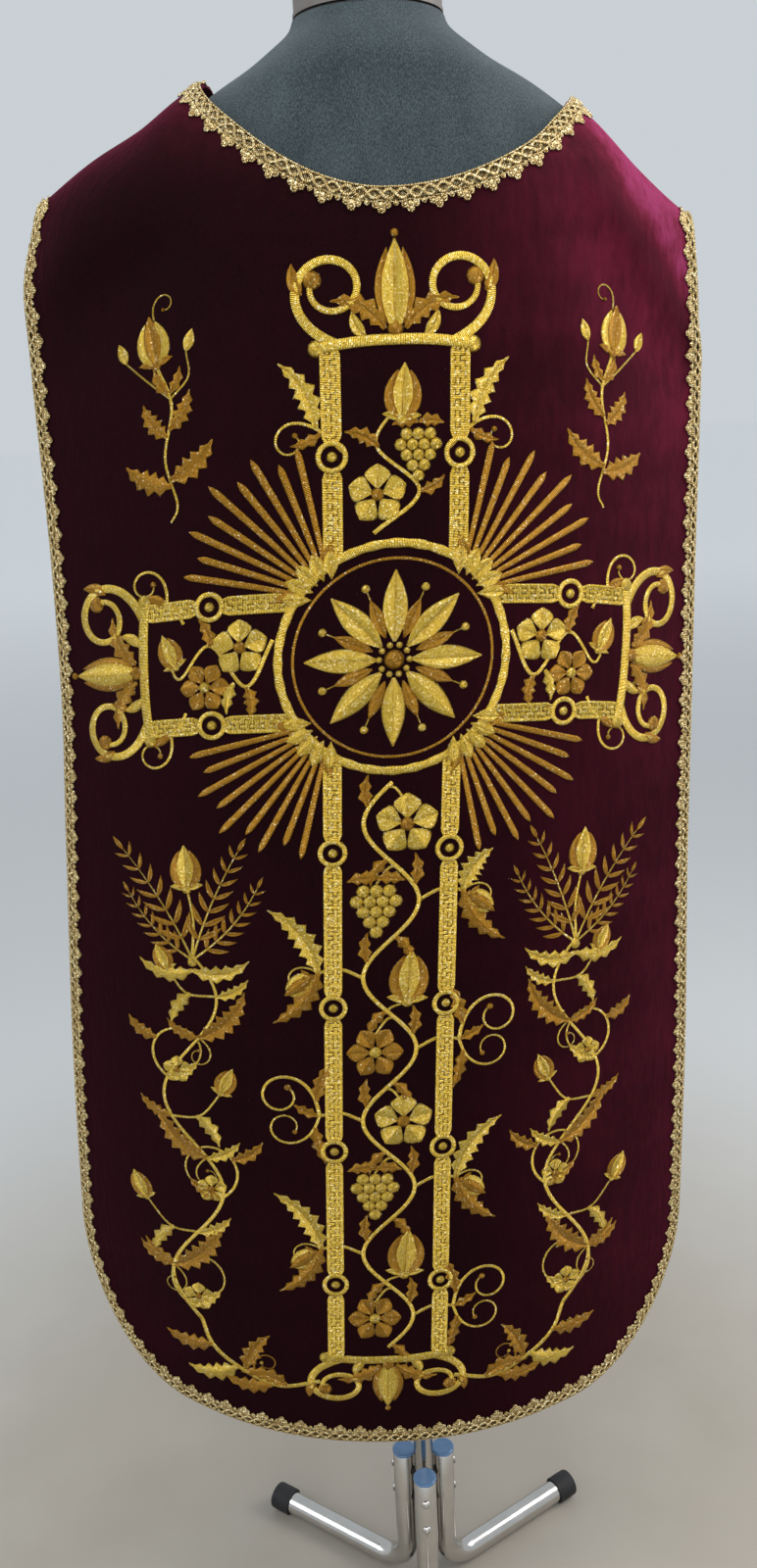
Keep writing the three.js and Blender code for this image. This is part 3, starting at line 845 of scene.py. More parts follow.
def panel_wall(panel, shoulder, neck, rows):
    """A ring of points for each row, out along the outer face and back along the inner one,
    so the wall is one sweep down the cloth."""
    across = panel_columns(panel, shoulder, neck)[None, :]
    t = (np.arange(rows + 1) / rows)[:, None] ** 1.35
    top = np.maximum(panel.neckline(across), CLOTH_SEAM / 2)
    drop = top + (panel.hemline(across) - top) * t
    across = np.broadcast_to(across, drop.shape)
    outer = panel.place(across, drop, 0.0)
    inner = panel.place(across, drop, -CLOTH_WALL)
    rings = np.concatenate([outer, inner[:, ::-1]], axis=1)
    uv = np.stack([np.concatenate([c, c[:, ::-1]], 1) for c in (across, drop)], -1)
    return rings, uv, outer.shape


def velvet_panel(name, panel, shoulder, neck, rows, replaces):
    """The wall's quads, with the inner face's ones given the lining."""
    rings, uv, (stations, columns, _) = panel_wall(panel, shoulder, neck, rows)
    sides = 2 * columns
    quads = sweep_faces(stations, sides)[0].reshape(stations - 1, sides, 4)
    ends = []
    for row in (0, stations - 1):
        outer = row * sides + np.arange(columns)
        inner = row * sides + sides - 1 - np.arange(columns)
        strip = np.stack([outer[:-1], inner[:-1], inner[1:], outer[1:]], -1)
        ends.append(strip if row == 0 else strip[:, ::-1])
    shapes = Shapes()
    face = quads[:, : columns - 1].reshape(-1, 4)
    side_walls = quads[:, [columns - 1, sides - 1]].reshape(-1, 4)
    shapes.add(rings, [face, side_walls, *ends], uv)
    shapes.faces.append((quads[:, columns : sides - 1].reshape(-1, 4), 1))
    return mesh_object(name, shapes.all_points(), shapes, [VELVET, LINING], "velvet", replaces)


back_velvet = velvet_panel("back_velvet", back, 34, 84, 215, ["back_panel"])
front_velvet = velvet_panel("front_velvet", front, 24, 60, 150, ["front_panel"])

# %% [markdown]
# ## The lace braid
#
# The braid runs down one side, round the hem and up the other, and along the neck. It is
# described in its own flat coordinates: along the edge, in from the edge, and height. One
# function bends those onto the cloth, so the same pattern serves all four lengths.


# %% The edge as a route, and the braid's own coordinates
def dots(a, b):
    """The dot product of each row of a with the same row of b."""
    return np.einsum("ij,ij->i", a, b)


class Edge:
    """A route along a panel's edge, with the step in (across, drop) for one millimetre inwards."""

    def __init__(self, panel, across, drop, turn):
        self.panel = panel
        line = panel.point(across, drop)
        steps = np.linalg.norm(np.diff(line, axis=0), axis=1)
        self.run = np.concatenate([[0], np.cumsum(steps)])
        self.across, self.drop = across, drop
        along = np.gradient(line, self.run, axis=0)
        inward = turn * np.cross(panel.normal(across, drop), along)
        inward /= np.linalg.norm(inward, axis=1, keepdims=True)
        by_across = (panel.point(across + 0.001, drop) - panel.point(across - 0.001, drop)) / 0.002
        by_drop = panel.point(across, drop + 0.5) - panel.point(across, drop - 0.5)
        aa, ad, dd = dots(by_across, by_across), dots(by_across, by_drop), dots(by_drop, by_drop)
        a, d = dots(by_across, inward), dots(by_drop, inward)
        self.step_across = (a * dd - d * ad) / (aa * dd - ad * ad)
        self.step_drop = (d * aa - a * ad) / (aa * dd - ad * ad)

    @property
    def length(self):
        """Length of the whole route, in millimetres."""
        return self.run[-1]

    def place(self, lace):
        """Maps (along, inward, height) to points over the cloth."""
        along, inward, height = lace[..., 0], lace[..., 1], lace[..., 2]
        across, step_across, drop, step_drop = (
            np.interp(along, self.run, values)
            for values in (self.across, self.step_across, self.drop, self.step_drop)
        )
        across = across + inward * step_across
        drop = np.maximum(drop + inward * step_drop, CLOTH_SEAM)
        return self.panel.place(across, drop, height)


EDGE_STEPS = 1400
BRAID_START = 6.0  # the braid stops this far from the shoulder seam


def outer_route(panel):
    """Down the left edge, along the hem and up the right edge."""
    t = np.linspace(0, 1, EDGE_STEPS)
    left, right = (
        BRAID_START + (panel.hemline(end) - BRAID_START) * t**1.3 for end in (-1.0, 1.0)
    )
    hem_across = -np.cos(pi * t)
    across = np.concatenate([-np.ones(EDGE_STEPS - 1), hem_across, np.ones(EDGE_STEPS - 1)])
    drop = [left[:-1], panel.hemline(hem_across), right[:-1][::-1]]
    return across, np.concatenate(drop)


def neck_route(panel):
    """Along the neck opening from its left end to its right one, closer together at both ends."""
    left, right = panel.across_at(NECK_LEFT), panel.across_at(NECK_RIGHT)
    across = (left + right) / 2 - (right - left) / 2 * np.cos(pi * np.linspace(0, 1, EDGE_STEPS))
    return across, np.maximum(panel.neckline(across), BRAID_START)


EDGES = {
    "back_edge_lace": (Edge(back, *outer_route(back), 1), "back_edge_braid"),
    "front_edge_lace": (Edge(front, *outer_route(front), -1), "front_edge_braid"),
    "back_neck_lace": (Edge(back, *neck_route(back), -1), "back_neck_braid"),
    "front_neck_lace": (Edge(front, *neck_route(front), 1), "front_neck_braid"),
}
for name, (edge, _) in EDGES.items():
    print(name, "length", round(edge.length), "mm")

# %% [markdown]
# The pattern repeats every 20 mm. Two gimp cords cross each other in waves between two edge
# cords, over a thin ground. From the inner edge stands a trefoil of three small loops, with a
# lower loop between one trefoil and the next.

# %% Braid pattern
PITCH = 20.0
HEADING = 12.0  # width of the woven part, without the loops
GROUND = table(
    "inward height",
    (1.0, 0.35), (HEADING - 0.8, 0.35), (HEADING - 0.8, 0.75), (1.0, 0.75),
)
CORDS = table(
    "inward swing shift height dip radius beat beats steps sides",
    (6.0, 3.3, 0, 1.55, 0.45, 1.35, 0.12, 6, 12, 6),
    (6.0, 3.3, pi, 1.55, 0.45, 1.35, 0.12, 6, 12, 6),
    (0.9, 0.0, 0, 1.10, 0.00, 0.85, 0.30, 8, 16, 5),
    (10.9, 0.7, pi / 2, 1.10, 0.00, 0.80, 0.25, 6, 12, 5),
)
LOOPS = table(
    "phase shift inward size thick height",
    (0.5, 0.0, 16.4, 2.15, 0.85, 1.15), (0.5, -3.9, 13.3, 2.0, 0.85, 1.15),
    (0.5, 3.9, 13.3, 2.0, 0.85, 1.15), (1.0, 0.0, 12.2, 1.5, 0.7, 1.0),
)
LOOP_STEPS, LOOP_SIDES = 9, 5


def flat_cord(path, radius, sides, ring=False):
    """A round section carried along a path in the braid's coordinates. The path is
    (..., stations, 3) and radius (..., stations) or one number."""
    path = np.asarray(path, float)
    if ring:
        tangent = np.roll(path, -1, axis=-2) - np.roll(path, 1, axis=-2)
    else:
        tangent = np.gradient(path, axis=-2)
    flat = np.stack([-tangent[..., 1], tangent[..., 0]], -1)
    flat = flat / np.linalg.norm(flat, axis=-1, keepdims=True)
    angle = 2 * pi * np.arange(sides) / sides
    radius = np.broadcast_to(radius, path.shape[:-1])[..., None]
    points = np.repeat(path[..., None, :], sides, axis=-2)
    points[..., :2] += flat[..., None, :] * (radius * np.cos(angle))[..., None]
    points[..., 2] += radius * np.sin(angle)
    return points


def cord_uv(points):
    """u in millimetres along the cord, v once round it."""
    steps = np.linalg.norm(np.diff(points.mean(-2), axis=-2), axis=-1)
    u = np.concatenate([np.zeros(steps.shape[:-1] + (1,)), np.cumsum(steps, -1)], -1)
    v = np.arange(points.shape[-2]) / points.shape[-2]
    return np.stack(np.broadcast_arrays(u[..., None], v), -1)


BEAD = table("radius height", (0.8, -0.5), (1.0, 0.1), (0.72, 0.75), (0.25, 1.0))


def bead(centre, radius, height, sides=6):
    """A low dome: rings that shrink as they rise. centre is (..., 3)."""
    angle = 2 * pi * np.arange(sides) / sides
    out, up = BEAD["radius"][:, None] * radius, BEAD["height"][:, None] * height
    shape = np.broadcast_arrays(out * np.cos(angle), out * np.sin(angle), up)
    return np.asarray(centre, float)[..., None, None, :] + np.stack(shape, -1)


def lace_braid(name, edge, node):
    """One length of lace. With p the phase, 2·pi for each repeat, a cord runs at
    inward + swing·sin(p + shift), height + dip·cos(p + shift), and its radius is
    radius + beat·cos(beats·p)."""
    count = round(edge.length / PITCH)
    pitch = edge.length / count
    shapes = Shapes()

    def add(points, ring=False):
        """Adds sweeps in the braid's coordinates, with their own UV map."""
        shapes.add(points, sweep_faces(*points.shape[-3:-1], ring), cord_uv(points))

    along = np.linspace(0, edge.length, count * 4 + 1)[:, None]
    add(np.stack(np.broadcast_arrays(along, GROUND["inward"], GROUND["height"]), -1))
    for cord in CORDS:
        along = np.linspace(0, edge.length, count * int(cord["steps"]) + 1)
        phase = 2 * pi * along / pitch
        inward = cord["inward"] + cord["swing"] * np.sin(phase + cord["shift"])
        height = cord["height"] + cord["dip"] * np.cos(phase + cord["shift"])
        radius = cord["radius"] + cord["beat"] * np.cos(cord["beats"] * phase)
        add(flat_cord(np.stack([along, inward, height], -1), radius, int(cord["sides"])))

    def spots(phase, shift, inward, height):
        """A row of places, one in each repeat."""
        along = (np.arange(count) + phase) * pitch + shift
        return np.stack([along, np.full(count, inward), np.full(count, height)], -1)

    turn = 2 * pi * np.arange(LOOP_STEPS) / LOOP_STEPS
    for phase, shift, inward, size, thick, height in LOOPS.tolist():
        ring = np.stack([size * np.sin(turn), size * 1.12 * np.cos(turn), 0 * turn], -1)
        centres = spots(phase, shift, inward, height)
        add(flat_cord(centres[:, None, :] + ring, thick, LOOP_SIDES, ring=True), ring=True)
        shapes.add(bead(centres, size * 0.75, 1.1, LOOP_SIDES), sweep_faces(4, LOOP_SIDES))
    shapes.add(bead(spots(0.5, 0.0, 12.9, 0.9), 2.1, 1.3, 6), sweep_faces(4, 6))
    lace = np.clip(shapes.all_points(), [0, 0, 0.1], [edge.length, 30, 9])
    # The height off the cloth, as rise, gives the braid painted shade low down.
    return mesh_object(
        name, edge.place(lace), shapes, [BRAID_GOLD], "braid", [node], rise=lace[:, 2] / 2.2
    )


laces = {name: lace_braid(name, edge, node) for name, (edge, node) in EDGES.items()}

# %% [markdown]
# ## The dress form
#
# The form is a stack of ovals, each with its own depth to the back and to the front. A coarse
# cage of those ovals and a subdivision surface give the smooth padded body under its jersey.

# %% Form and its cap
FORM_SECTIONS = table(
    "height half back front",
    (824, 124, 72, 70), (832, 150, 92, 88), (850, 164, 104, 99), (900, 172, 111, 106),
    (980, 170, 112, 108), (1090, 152, 102, 104), (1180, 142, 95, 102), (1260, 152, 100, 111),
    (1340, 171, 107, 121), (1410, 190, 110.5, 121), (1460, 206, 111, 116), (1484, 209, 109.5, 110),
    (1510, 203, 100, 101), (1533.5, 190, 94, 83), (1555, 169.3, 89, 70), (1572.5, 145.3, 85, 64),
    (1586, 125, 84, 64), (1598, 100, 83, 71), (1612, 81, 75, 66), (1624, 63.5, 66, 61),
    (1636, 60, 60, 58),
)


def form_body(sides=48):
    """Ovals: x = half·cos, y = depth·sin, the depth changing between back and front. Two
    close rows at the top and bottom keep those rims crisp when the cage is subdivided."""
    low, high = FORM_SECTIONS["height"][[0, -1]]
    height = np.concatenate([[low, low + 1.5], FORM_SECTIONS["height"][1:-1], [high - 1.5, high]])

    def size(column):
        """One number of the table for each oval."""
        return np.interp(height, FORM_SECTIONS["height"], FORM_SECTIONS[column])[:, None]

    angle = 2 * pi * np.arange(sides) / sides
    depth = np.where(np.sin(angle) < 0, size("back"), size("front"))
    x, y = size("half") * np.cos(angle), depth * np.sin(angle)
    points = np.stack(np.broadcast_arrays(x, y, height[:, None]), -1)
    shapes = Shapes()
    shapes.add(points, sweep_faces(len(height), sides))
    points = shapes.all_points()
    return mesh_object("form_jersey", points, shapes, [JERSEY], "jersey", ["form_torso"])


form_jersey = form_body()
subdivision = form_jersey.modifiers.new("padding", "SUBSURF")
subdivision.levels = subdivision.render_levels = 2


def lathe(profile, sides, centre=(0, 0, 0), heading=None):
    """A profile of (radius, height) pairs turned round an axis. heading is an angle about +Z
    for an axis that lies level and points that way; without it the axis is +Z."""
    radius, height = np.asarray(profile, float).T[..., None]
    angle = 2 * pi * np.arange(sides) / sides
    x, y, z = np.broadcast_arrays(radius * np.cos(angle), radius * np.sin(angle), height)
    if heading is not None:
        c, s = cos(heading), sin(heading)
        x, y, z = z * c - y * s, z * s + y * c, x
    return np.stack([x, y, z], -1) + np.asarray(centre, float)


def lathe_piece(name, node, profile, material, slot, sides=48, ring=False, **place):
    """A turned piece. With ring the profile is a closed loop, clear of the axis."""
    shapes = Shapes()
    points = lathe(profile, sides, **place)
    shapes.add(points, sweep_faces(len(points), sides, ring))
    return mesh_object(name, shapes.all_points(), shapes, [material], slot, [node], crease=40)


CAP_RADIUS, CAP_BASE, CAP_TOP = 59.5, 1636.3, 1662.3
neck_cap_profile = [
    (54, CAP_BASE), (CAP_RADIUS, CAP_BASE), (CAP_RADIUS, CAP_BASE + 3),
    (CAP_RADIUS - 0.8, CAP_BASE + 4.2), (CAP_RADIUS - 0.8, CAP_TOP - 8),
    (CAP_RADIUS - 2, CAP_TOP - 4), (CAP_RADIUS - 5, CAP_TOP - 1.2), (CAP_RADIUS - 10, CAP_TOP),
    (18, CAP_TOP), (15, CAP_TOP - 1.5), (4, CAP_TOP - 1.5),
]
lathe_piece("form_neck_cap", "neck_cap", neck_cap_profile, CAP_PLASTIC, "neck_cap", 72)

# %% [markdown]
# ## The stand
#
# Three bent tubes stand round a straight pole, bolted to it through spacers. Each runs out
# level to a rubber cap that rests on the floor, and has a blue plug pressed into its top.

# %% Pole, socket and foot
POLE_RADIUS = 11.0
FIT = 0.3  # clearance between two pieces
FORM_BASE = float(FORM_SECTIONS["height"][0])
POLE_LOW, POLE_BORE = 6.3, 9.4
SOCKET_LOW, SOCKET_HIGH = FORM_BASE - 36.3, FORM_BASE - FIT

foot_profile = [(9, 0.0), (11.2, 0.0), (12, 0.9), (12, 5.2), (11.3, 6.0), (5, 6.0)]
pole_profile = [
    (POLE_BORE, POLE_LOW), (POLE_RADIUS - 0.4, POLE_LOW), (POLE_RADIUS, POLE_LOW + 0.6),
    (POLE_RADIUS, SOCKET_HIGH - 0.6), (POLE_BORE, SOCKET_HIGH),
]
collar_profile = [
    (POLE_RADIUS + FIT, SOCKET_LOW), (16.5, SOCKET_LOW), (20, SOCKET_LOW + 2.5),
    (21, SOCKET_LOW + 6), (21, SOCKET_HIGH - 8), (20.2, SOCKET_HIGH - 7),
    (20.2, SOCKET_HIGH - 2), (21, SOCKET_HIGH), (POLE_RADIUS + FIT, SOCKET_HIGH),
]
lathe_piece("pole_foot_plug", "pole_foot", foot_profile, BLACK_RUBBER, "rubber")
lathe_piece("pole_tube", "pole", pole_profile, CHROME, "chrome", 64)
lathe_piece("pole_collar", "pole_socket", collar_profile, BLACK_RUBBER, "rubber", 64, ring=True)

# %% Legs
TUBE_RADIUS = 12.5
TUBE_OFFSET = 26.7  # from the pole's axis to an upright tube's
TUBE_TOP = 187.0
BEND_RADIUS = 38.0
LEG_REACH = 222.0
LEG_SPREAD = 123.0  # degrees from the leg in front to each of the others
CAP_OUTER, CAP_LENGTH, CAP_WALL = 15.5, 25.0, 2.7
BOLT_HEIGHTS = {"upper": 164.0, "lower": 127.0}
SPACER = TUBE_OFFSET - TUBE_RADIUS - POLE_RADIUS - 2 * FIT

# profiles for the lathe, along the leg for the cap, the bolts and the spacers
CAP_BORE, PLUG_LOW = TUBE_RADIUS + FIT, TUBE_TOP + FIT
leg_cap_profile = [
    (4, -CAP_WALL), (CAP_BORE, -CAP_WALL), (CAP_BORE, -CAP_LENGTH),
    (CAP_OUTER - 0.7, -CAP_LENGTH), (CAP_OUTER, -CAP_LENGTH + 0.9),
    (CAP_OUTER, -CAP_LENGTH + 3), (CAP_OUTER - 0.5, -CAP_LENGTH + 3.6),
    (CAP_OUTER, -CAP_LENGTH + 4.4), (CAP_OUTER, -2.4), (CAP_OUTER - 0.7, -0.7),
    (CAP_OUTER - 2.4, 0), (4, 0),
]
plug_profile = [
    (9, PLUG_LOW), (12.6, PLUG_LOW), (13, PLUG_LOW + 0.5), (13, PLUG_LOW + 2.3),
    (12.4, PLUG_LOW + 3.3), (11, PLUG_LOW + 3.8), (9.5, PLUG_LOW + 3.5), (4, PLUG_LOW + 3.7),
]
bolt_profile = [
    (3, 0), (5.3, 0), (5.5, 0.4), (5.3, 1.5), (4.2, 2.7), (2.7, 3.3), (2.4, 3.2), (2.2, 1.6),
    (0.6, 1.5),
]
spacer_profile = [(2, 0), (5.2, 0), (5.5, 0.4), (5.5, SPACER - 0.4), (5.2, SPACER), (2, SPACER)]


def leg_route(steps=40):
    """The tube's middle line in its own upright plane: out from the pole, and up."""
    turn = np.linspace(0, pi / 2, steps)
    out = TUBE_OFFSET + BEND_RADIUS * (1 - np.cos(turn))
    up = CAP_OUTER + BEND_RADIUS * (1 - np.sin(turn))
    end = LEG_REACH - CAP_WALL - FIT
    out = np.concatenate([[TUBE_OFFSET, TUBE_OFFSET], out, [end - 0.8, end]])
    up = np.concatenate([[TUBE_TOP, TUBE_TOP - 1.0], up, [CAP_OUTER, CAP_OUTER]])
    return out, up


def leg_tube(heading, sides=40):
    """Rings square to the route: each is the route's point plus the radius along the route's
    normal and along the level direction across the plane."""
    out, up = leg_route()
    slope_out, slope_up = np.gradient(out), np.gradient(up)
    size = np.hypot(slope_out, slope_up)
    radius = np.full(len(out), TUBE_RADIUS)
    radius[[0, -1]] -= 0.8  # rounds off both ends
    angle = 2 * pi * np.arange(sides) / sides
    along_normal = radius[:, None] * np.cos(angle)
    outward = out[:, None] - along_normal * (slope_up / size)[:, None]
    upward = up[:, None] + along_normal * (slope_out / size)[:, None]
    across = radius[:, None] * np.sin(angle)
    x = outward * cos(heading) - across * sin(heading)
    y = outward * sin(heading) + across * cos(heading)
    return np.stack([x, y, upward], -1)


def build_leg(number, degrees):
    """One leg with its cap, plug, bolts and spacers. degrees is the way it points, about +Z."""
    heading = radians(degrees)

    def turned(part, node, profile, out, up, *finish, **place):
        """A lathed piece whose axis meets the leg's upright plane at out and up."""
        centre = (out * cos(heading), out * sin(heading), up)
        lathe_piece(f"leg_{number}_{part}", node, profile, *finish, centre=centre, **place)

    tube = Shapes()
    points = leg_tube(heading)
    tube.add(points, sweep_faces(len(points), points.shape[1]))
    mesh_object(
        f"leg_{number}_tube", tube.all_points(), tube, [CHROME], "chrome",
        [f"leg_tube_{number}"], crease=40,
    )
    turned(
        "cap", f"leg_cap_{number}", leg_cap_profile, LEG_REACH, CAP_OUTER, BLACK_RUBBER, "rubber",
        heading=heading,
    )
    turned("plug", f"leg_plug_{number}", plug_profile, TUBE_OFFSET, 0, PLUG_BLUE, "plug")
    for level, height in BOLT_HEIGHTS.items():
        turned(
            f"bolt_{level}", f"bolt_head_{number}_{level}", bolt_profile,
            TUBE_OFFSET + TUBE_RADIUS + FIT, height, CHROME, "chrome", 32, heading=heading,
        )
        turned(
            f"spacer_{level}", f"spacer_{number}_{level}", spacer_profile,
            POLE_RADIUS + FIT, height, BLACK_RUBBER, "rubber", 32, heading=heading,
        )


for number, degrees in enumerate((-90, -90 + LEG_SPREAD, -90 - LEG_SPREAD), start=1):
    build_leg(number, degrees)

# %% [markdown]
# ## The embroidery
#
# The cross, its medallion and the sprays are worked in gold thread over padding, so each
# motif stands one or two millimetres off the pile. The design is drawn in flat coordinates:
# s to the right of the cross's middle line and h above its crossing. One function carries a
# flat point on to the hanging cloth, and every motif below is a padded shape drawn flat.

# %% From the flat design to the cloth
CROSSING_DROP = 523.0  # down the cloth from the shoulder line to the cross's centre
LEVEL_SHARE = 0.82  # the shoulders slope, and the cross's arms follow that slope only a little
MIDDLE_X, MIDDLE_DROP, MIDDLE_LEAN = 24, 200, 0.0165  # where the middle line is, and its lean
SIDE_EASE = 5000  # the larger, the more alike the two halves


def column_start(across):
    """The height from which a column would hang straight down to where it hangs now."""
    height, length = back.turn(across)
    return between(SHOULDER_LINE, "x", "z", back.x(across, 0)) - height + length


def on_back(s, h, lift):
    """The cross stands a little right of the panel's middle, so its left half has more cloth:
    x = middle line + s - s²/SIDE_EASE. A column at the side starts lower than the middle one,
    and most of that difference is taken back so that the arms stay nearly level."""
    drop = CROSSING_DROP - h
    half = (back.level("right", drop) - back.level("left", drop)) / 2
    middle_line = MIDDLE_X - MIDDLE_LEAN * (drop - MIDDLE_DROP)
    across = (middle_line + s - s * s / SIDE_EASE) / half
    lower = column_start(across) - column_start(middle_line / half)
    return back.place(across, drop + LEVEL_SHARE * lower, lift)


print("crossing at", on_back(np.zeros(1), np.zeros(1), np.zeros(1)).round(1)[0], "mm")

# %% [markdown]
# A padded shape is a route with a width: its section rises steeply from the pile, is nearly
# level on top, and closes just below the pile. Satin stitch lies across a stem and slants out
# from a leaf's midrib, and the UV map follows that slant so the thread's ridges do too.

# %% Padded shapes
SATIN = table(
    "v rise", (1, 0), (0.84, 0.7), (0.45, 0.96), (0, 1), (-0.45, 0.96), (-0.84, 0.7), (-1, 0),
    (-0.9, -0.45), (0.9, -0.45),
)
VEINED = table(
    "v rise", (1, 0), (0.84, 0.7), (0.5, 1), (0.14, 0.86), (0, 0.5), (-0.14, 0.86), (-0.5, 1),
    (-0.84, 0.7), (-1, 0), (-0.9, -0.45), (0.9, -0.45),
)
BRIGHT, BRONZE = 0, 1
FULL_WIDTH = 2.2  # a shape narrower than this to each side is padded less


def spline(points, count):
    """Catmull-Rom pieces through the points, sampled evenly in their own parameter."""
    points = np.asarray(points, float)
    padded = np.concatenate([[2 * points[0] - points[1]], points, [2 * points[-1] - points[-2]]])
    t = np.linspace(0, len(points) - 1, count)
    i = np.minimum(t.astype(int), len(points) - 2)
    u = (t - i)[:, None]
    a, b, c, d = padded[i], padded[i + 1], padded[i + 2], padded[i + 3]
    square, cube = 2 * a - 5 * b + 4 * c - d, 3 * b - a - 3 * c + d
    return b + (u * (c - a) + u**2 * square + u**3 * cube) / 2


def turning_route(base, angle, length, turn=0.0, power=1.0, count=16):
    """Starts at angle and turns by turn degrees in all: heading = angle + turn · t^power. With
    power 1 it is an arc, and with more it winds up into a scroll."""
    t = np.linspace(0, 1, count)
    heading = radians(angle) + radians(turn) * ((t[1:] + t[:-1]) / 2) ** power
    steps = length / (count - 1) * np.stack([np.cos(heading), np.sin(heading)], -1)
    return np.asarray(base, float) + np.concatenate([[(0, 0)], np.cumsum(steps, 0)])


def circle(radius, count):
    """count points evenly round the origin."""
    angle = 2 * pi * np.arange(count) / count
    return radius * np.stack([np.cos(angle), np.sin(angle)], -1)


def polar(degrees, radius=1.0):
    """The point at this angle and this distance from the origin."""
    return radius * np.array([cos(radians(degrees)), sin(radians(degrees))])


class Stitching:
    """Padded shapes for one piece of embroidery, drawn in a frame of their own. Angles are in
    degrees from the right, lengths in millimetres."""

    pieces = []  # all that has been finished

    def __init__(self):
        self.shapes, self.matrix, self.origin = Shapes(), np.eye(2), np.zeros(2)

    def inside(self, origin=(0, 0), turn=0.0, mirror=False, rise=1.0):
        """A frame in this one, moved, turned or mirrored. rise stretches it upwards."""
        frame = copy(self)
        c, d = cos(radians(turn)), sin(radians(turn))
        frame.origin = self.set_out(origin)
        frame.matrix = self.matrix @ [[c, -d], [d, c]] @ np.diag([-1 if mirror else 1, rise])
        return frame

    def halves(self):
        """The left half, mirrored, and the right half: a motif is drawn once for both."""
        return self.inside(mirror=True), self

    def set_out(self, points):
        """Points of this frame in the design: matrix · point + origin."""
        return np.asarray(points, float) @ self.matrix.T + self.origin

    def pad(self, path, half_width, tone=BRIGHT, rise=1.1, section=SATIN, slant=0.0, ring=False):
        """A section carried along a flat route. half_width is one number or one per station."""
        path = self.set_out(path)
        if ring:
            tangent = np.roll(path, -1, axis=0) - np.roll(path, 1, axis=0)
        else:
            tangent = np.gradient(path, axis=0)
        tangent /= np.maximum(np.linalg.norm(tangent, axis=1, keepdims=True), 1e-9)
        normal = np.stack([-tangent[:, 1], tangent[:, 0]], -1)
        half = np.broadcast_to(half_width, len(path))[:, None]
        across = section["v"] * half
        flat = path[:, None, :] + normal[:, None, :] * across[..., None]
        slim = np.clip(half / FULL_WIDTH, 0.35, 1)
        lift = np.where(section["rise"] > 0, section["rise"] * rise * slim, section["rise"])
        points = np.concatenate([flat, lift[..., None]], -1)
        steps = np.linalg.norm(np.diff(path, axis=0), axis=1)
        run = np.concatenate([[0], np.cumsum(steps)])[:, None]
        uv = np.stack(np.broadcast_arrays(run - slant * np.abs(across), across), -1)
        self.shapes.add(points, sweep_faces(len(path), len(section), ring), uv, tone)

    def stem(self, points, start, end, tone=BRIGHT, count=20, rise=1.0):
        """A stem through a few points, its width going from start to end."""
        self.pad(spline(points, count), np.linspace(start, end, count) / 2, tone, rise)

    def curl(self, base, angle, length, turn, width=3.4, tone=BRIGHT, bud=True, power=1.7):
        """A stem that winds up into a scroll, with a bud in its eye. Returns its route."""
        count = int(14 + abs(turn) / 11)
        path = turning_route(base, angle, length, turn, power, count)
        self.pad(path, width / 2 * np.linspace(1, 0.55, count), tone)
        if bud:
            self.dot(path[-1], 0.85 * width, BRONZE if tone == BRIGHT else BRIGHT, 1.7)
        return path

    def leaf(
        self, base, angle, length, width, bend=0.0, tone=BRIGHT, fullness=0.8, teeth=0,
        count=10, rise=1.2,
    ):
        """Half width = width/2 · sin(pi·t^fullness)^0.85, cut into teeth by a triangle wave."""
        count = 4 * teeth + 1 if teeth else count
        t = np.linspace(0, 1, count)
        half = width / 2 * np.sin(pi * np.clip(t, 0.02, 0.985) ** fullness) ** 0.85
        if teeth:
            half = half * (0.58 + 0.58 * np.abs(2 * ((teeth * t) % 1) - 1))
        path = turning_route(base, angle, length, bend, 1.0, count)
        self.pad(path, np.maximum(half, 0.25), tone, rise, VEINED, slant=1.0)

    def dot(self, centre, radius, tone=BRIGHT, rise=1.5, sides=10):
        """A bead; u runs round its foot."""
        points = bead([*self.set_out(centre), 0.0], radius, rise, sides)
        around = np.broadcast_to(np.arange(sides) * radius, points.shape[:2])
        uv = np.stack([around, 0 * around], -1)
        self.shapes.add(points, sweep_faces(*points.shape[:2]), uv, tone)

    def rose(self, centre, radius, turn=90, petals=5, tone=BRIGHT, heart=BRONZE):
        """Broad petals round a small heart, one of them at the angle turn."""
        for k in range(petals):
            angle = turn + 360 * k / petals
            base = np.add(centre, polar(angle, 0.16 * radius))
            width = 0.92 * radius * 5 / petals
            self.leaf(base, angle, 0.86 * radius, width, 0, tone, 1.35, count=8)
        self.dot(centre, 0.24 * radius, heart, 2.0, 12)

    def tulip(self, base, angle, size, tone=BRIGHT, under=BRONZE):
        """Two outer petals that part, one between them, and a small calyx."""
        for side in (-1, 1):
            out = angle + side * 38
            self.leaf(base, out, 1.02 * size, 0.42 * size, -side * 62, under, 0.75)
            out = angle + side * 62
            self.leaf(base, out, 0.42 * size, 0.18 * size, side * 30, tone, 0.9, count=7)
        self.leaf(base, angle, 1.1 * size, 0.44 * size, 0, tone, 0.95, rise=1.7)
        self.dot(base, 0.12 * size, tone)

    def berries(self, base, angle, size, tone=BRIGHT):
        """A hanging cluster that narrows to one berry, under two small leaves."""
        frame = self.inside(base, angle)
        for row, berries in enumerate((3, 4, 3, 2, 1)):
            for k in range(berries):
                offset = k - (berries - 1) / 2
                place = (size * (0.2 + 0.17 * row), size * 0.2 * offset)
                frame.dot(place, size * 0.115, tone, 2.0, 8)
        for side in (-1, 1):
            frame.leaf((0, 0), side * 105, 0.46 * size, 0.24 * size, -side * 40, BRONZE, 0.85, 3)

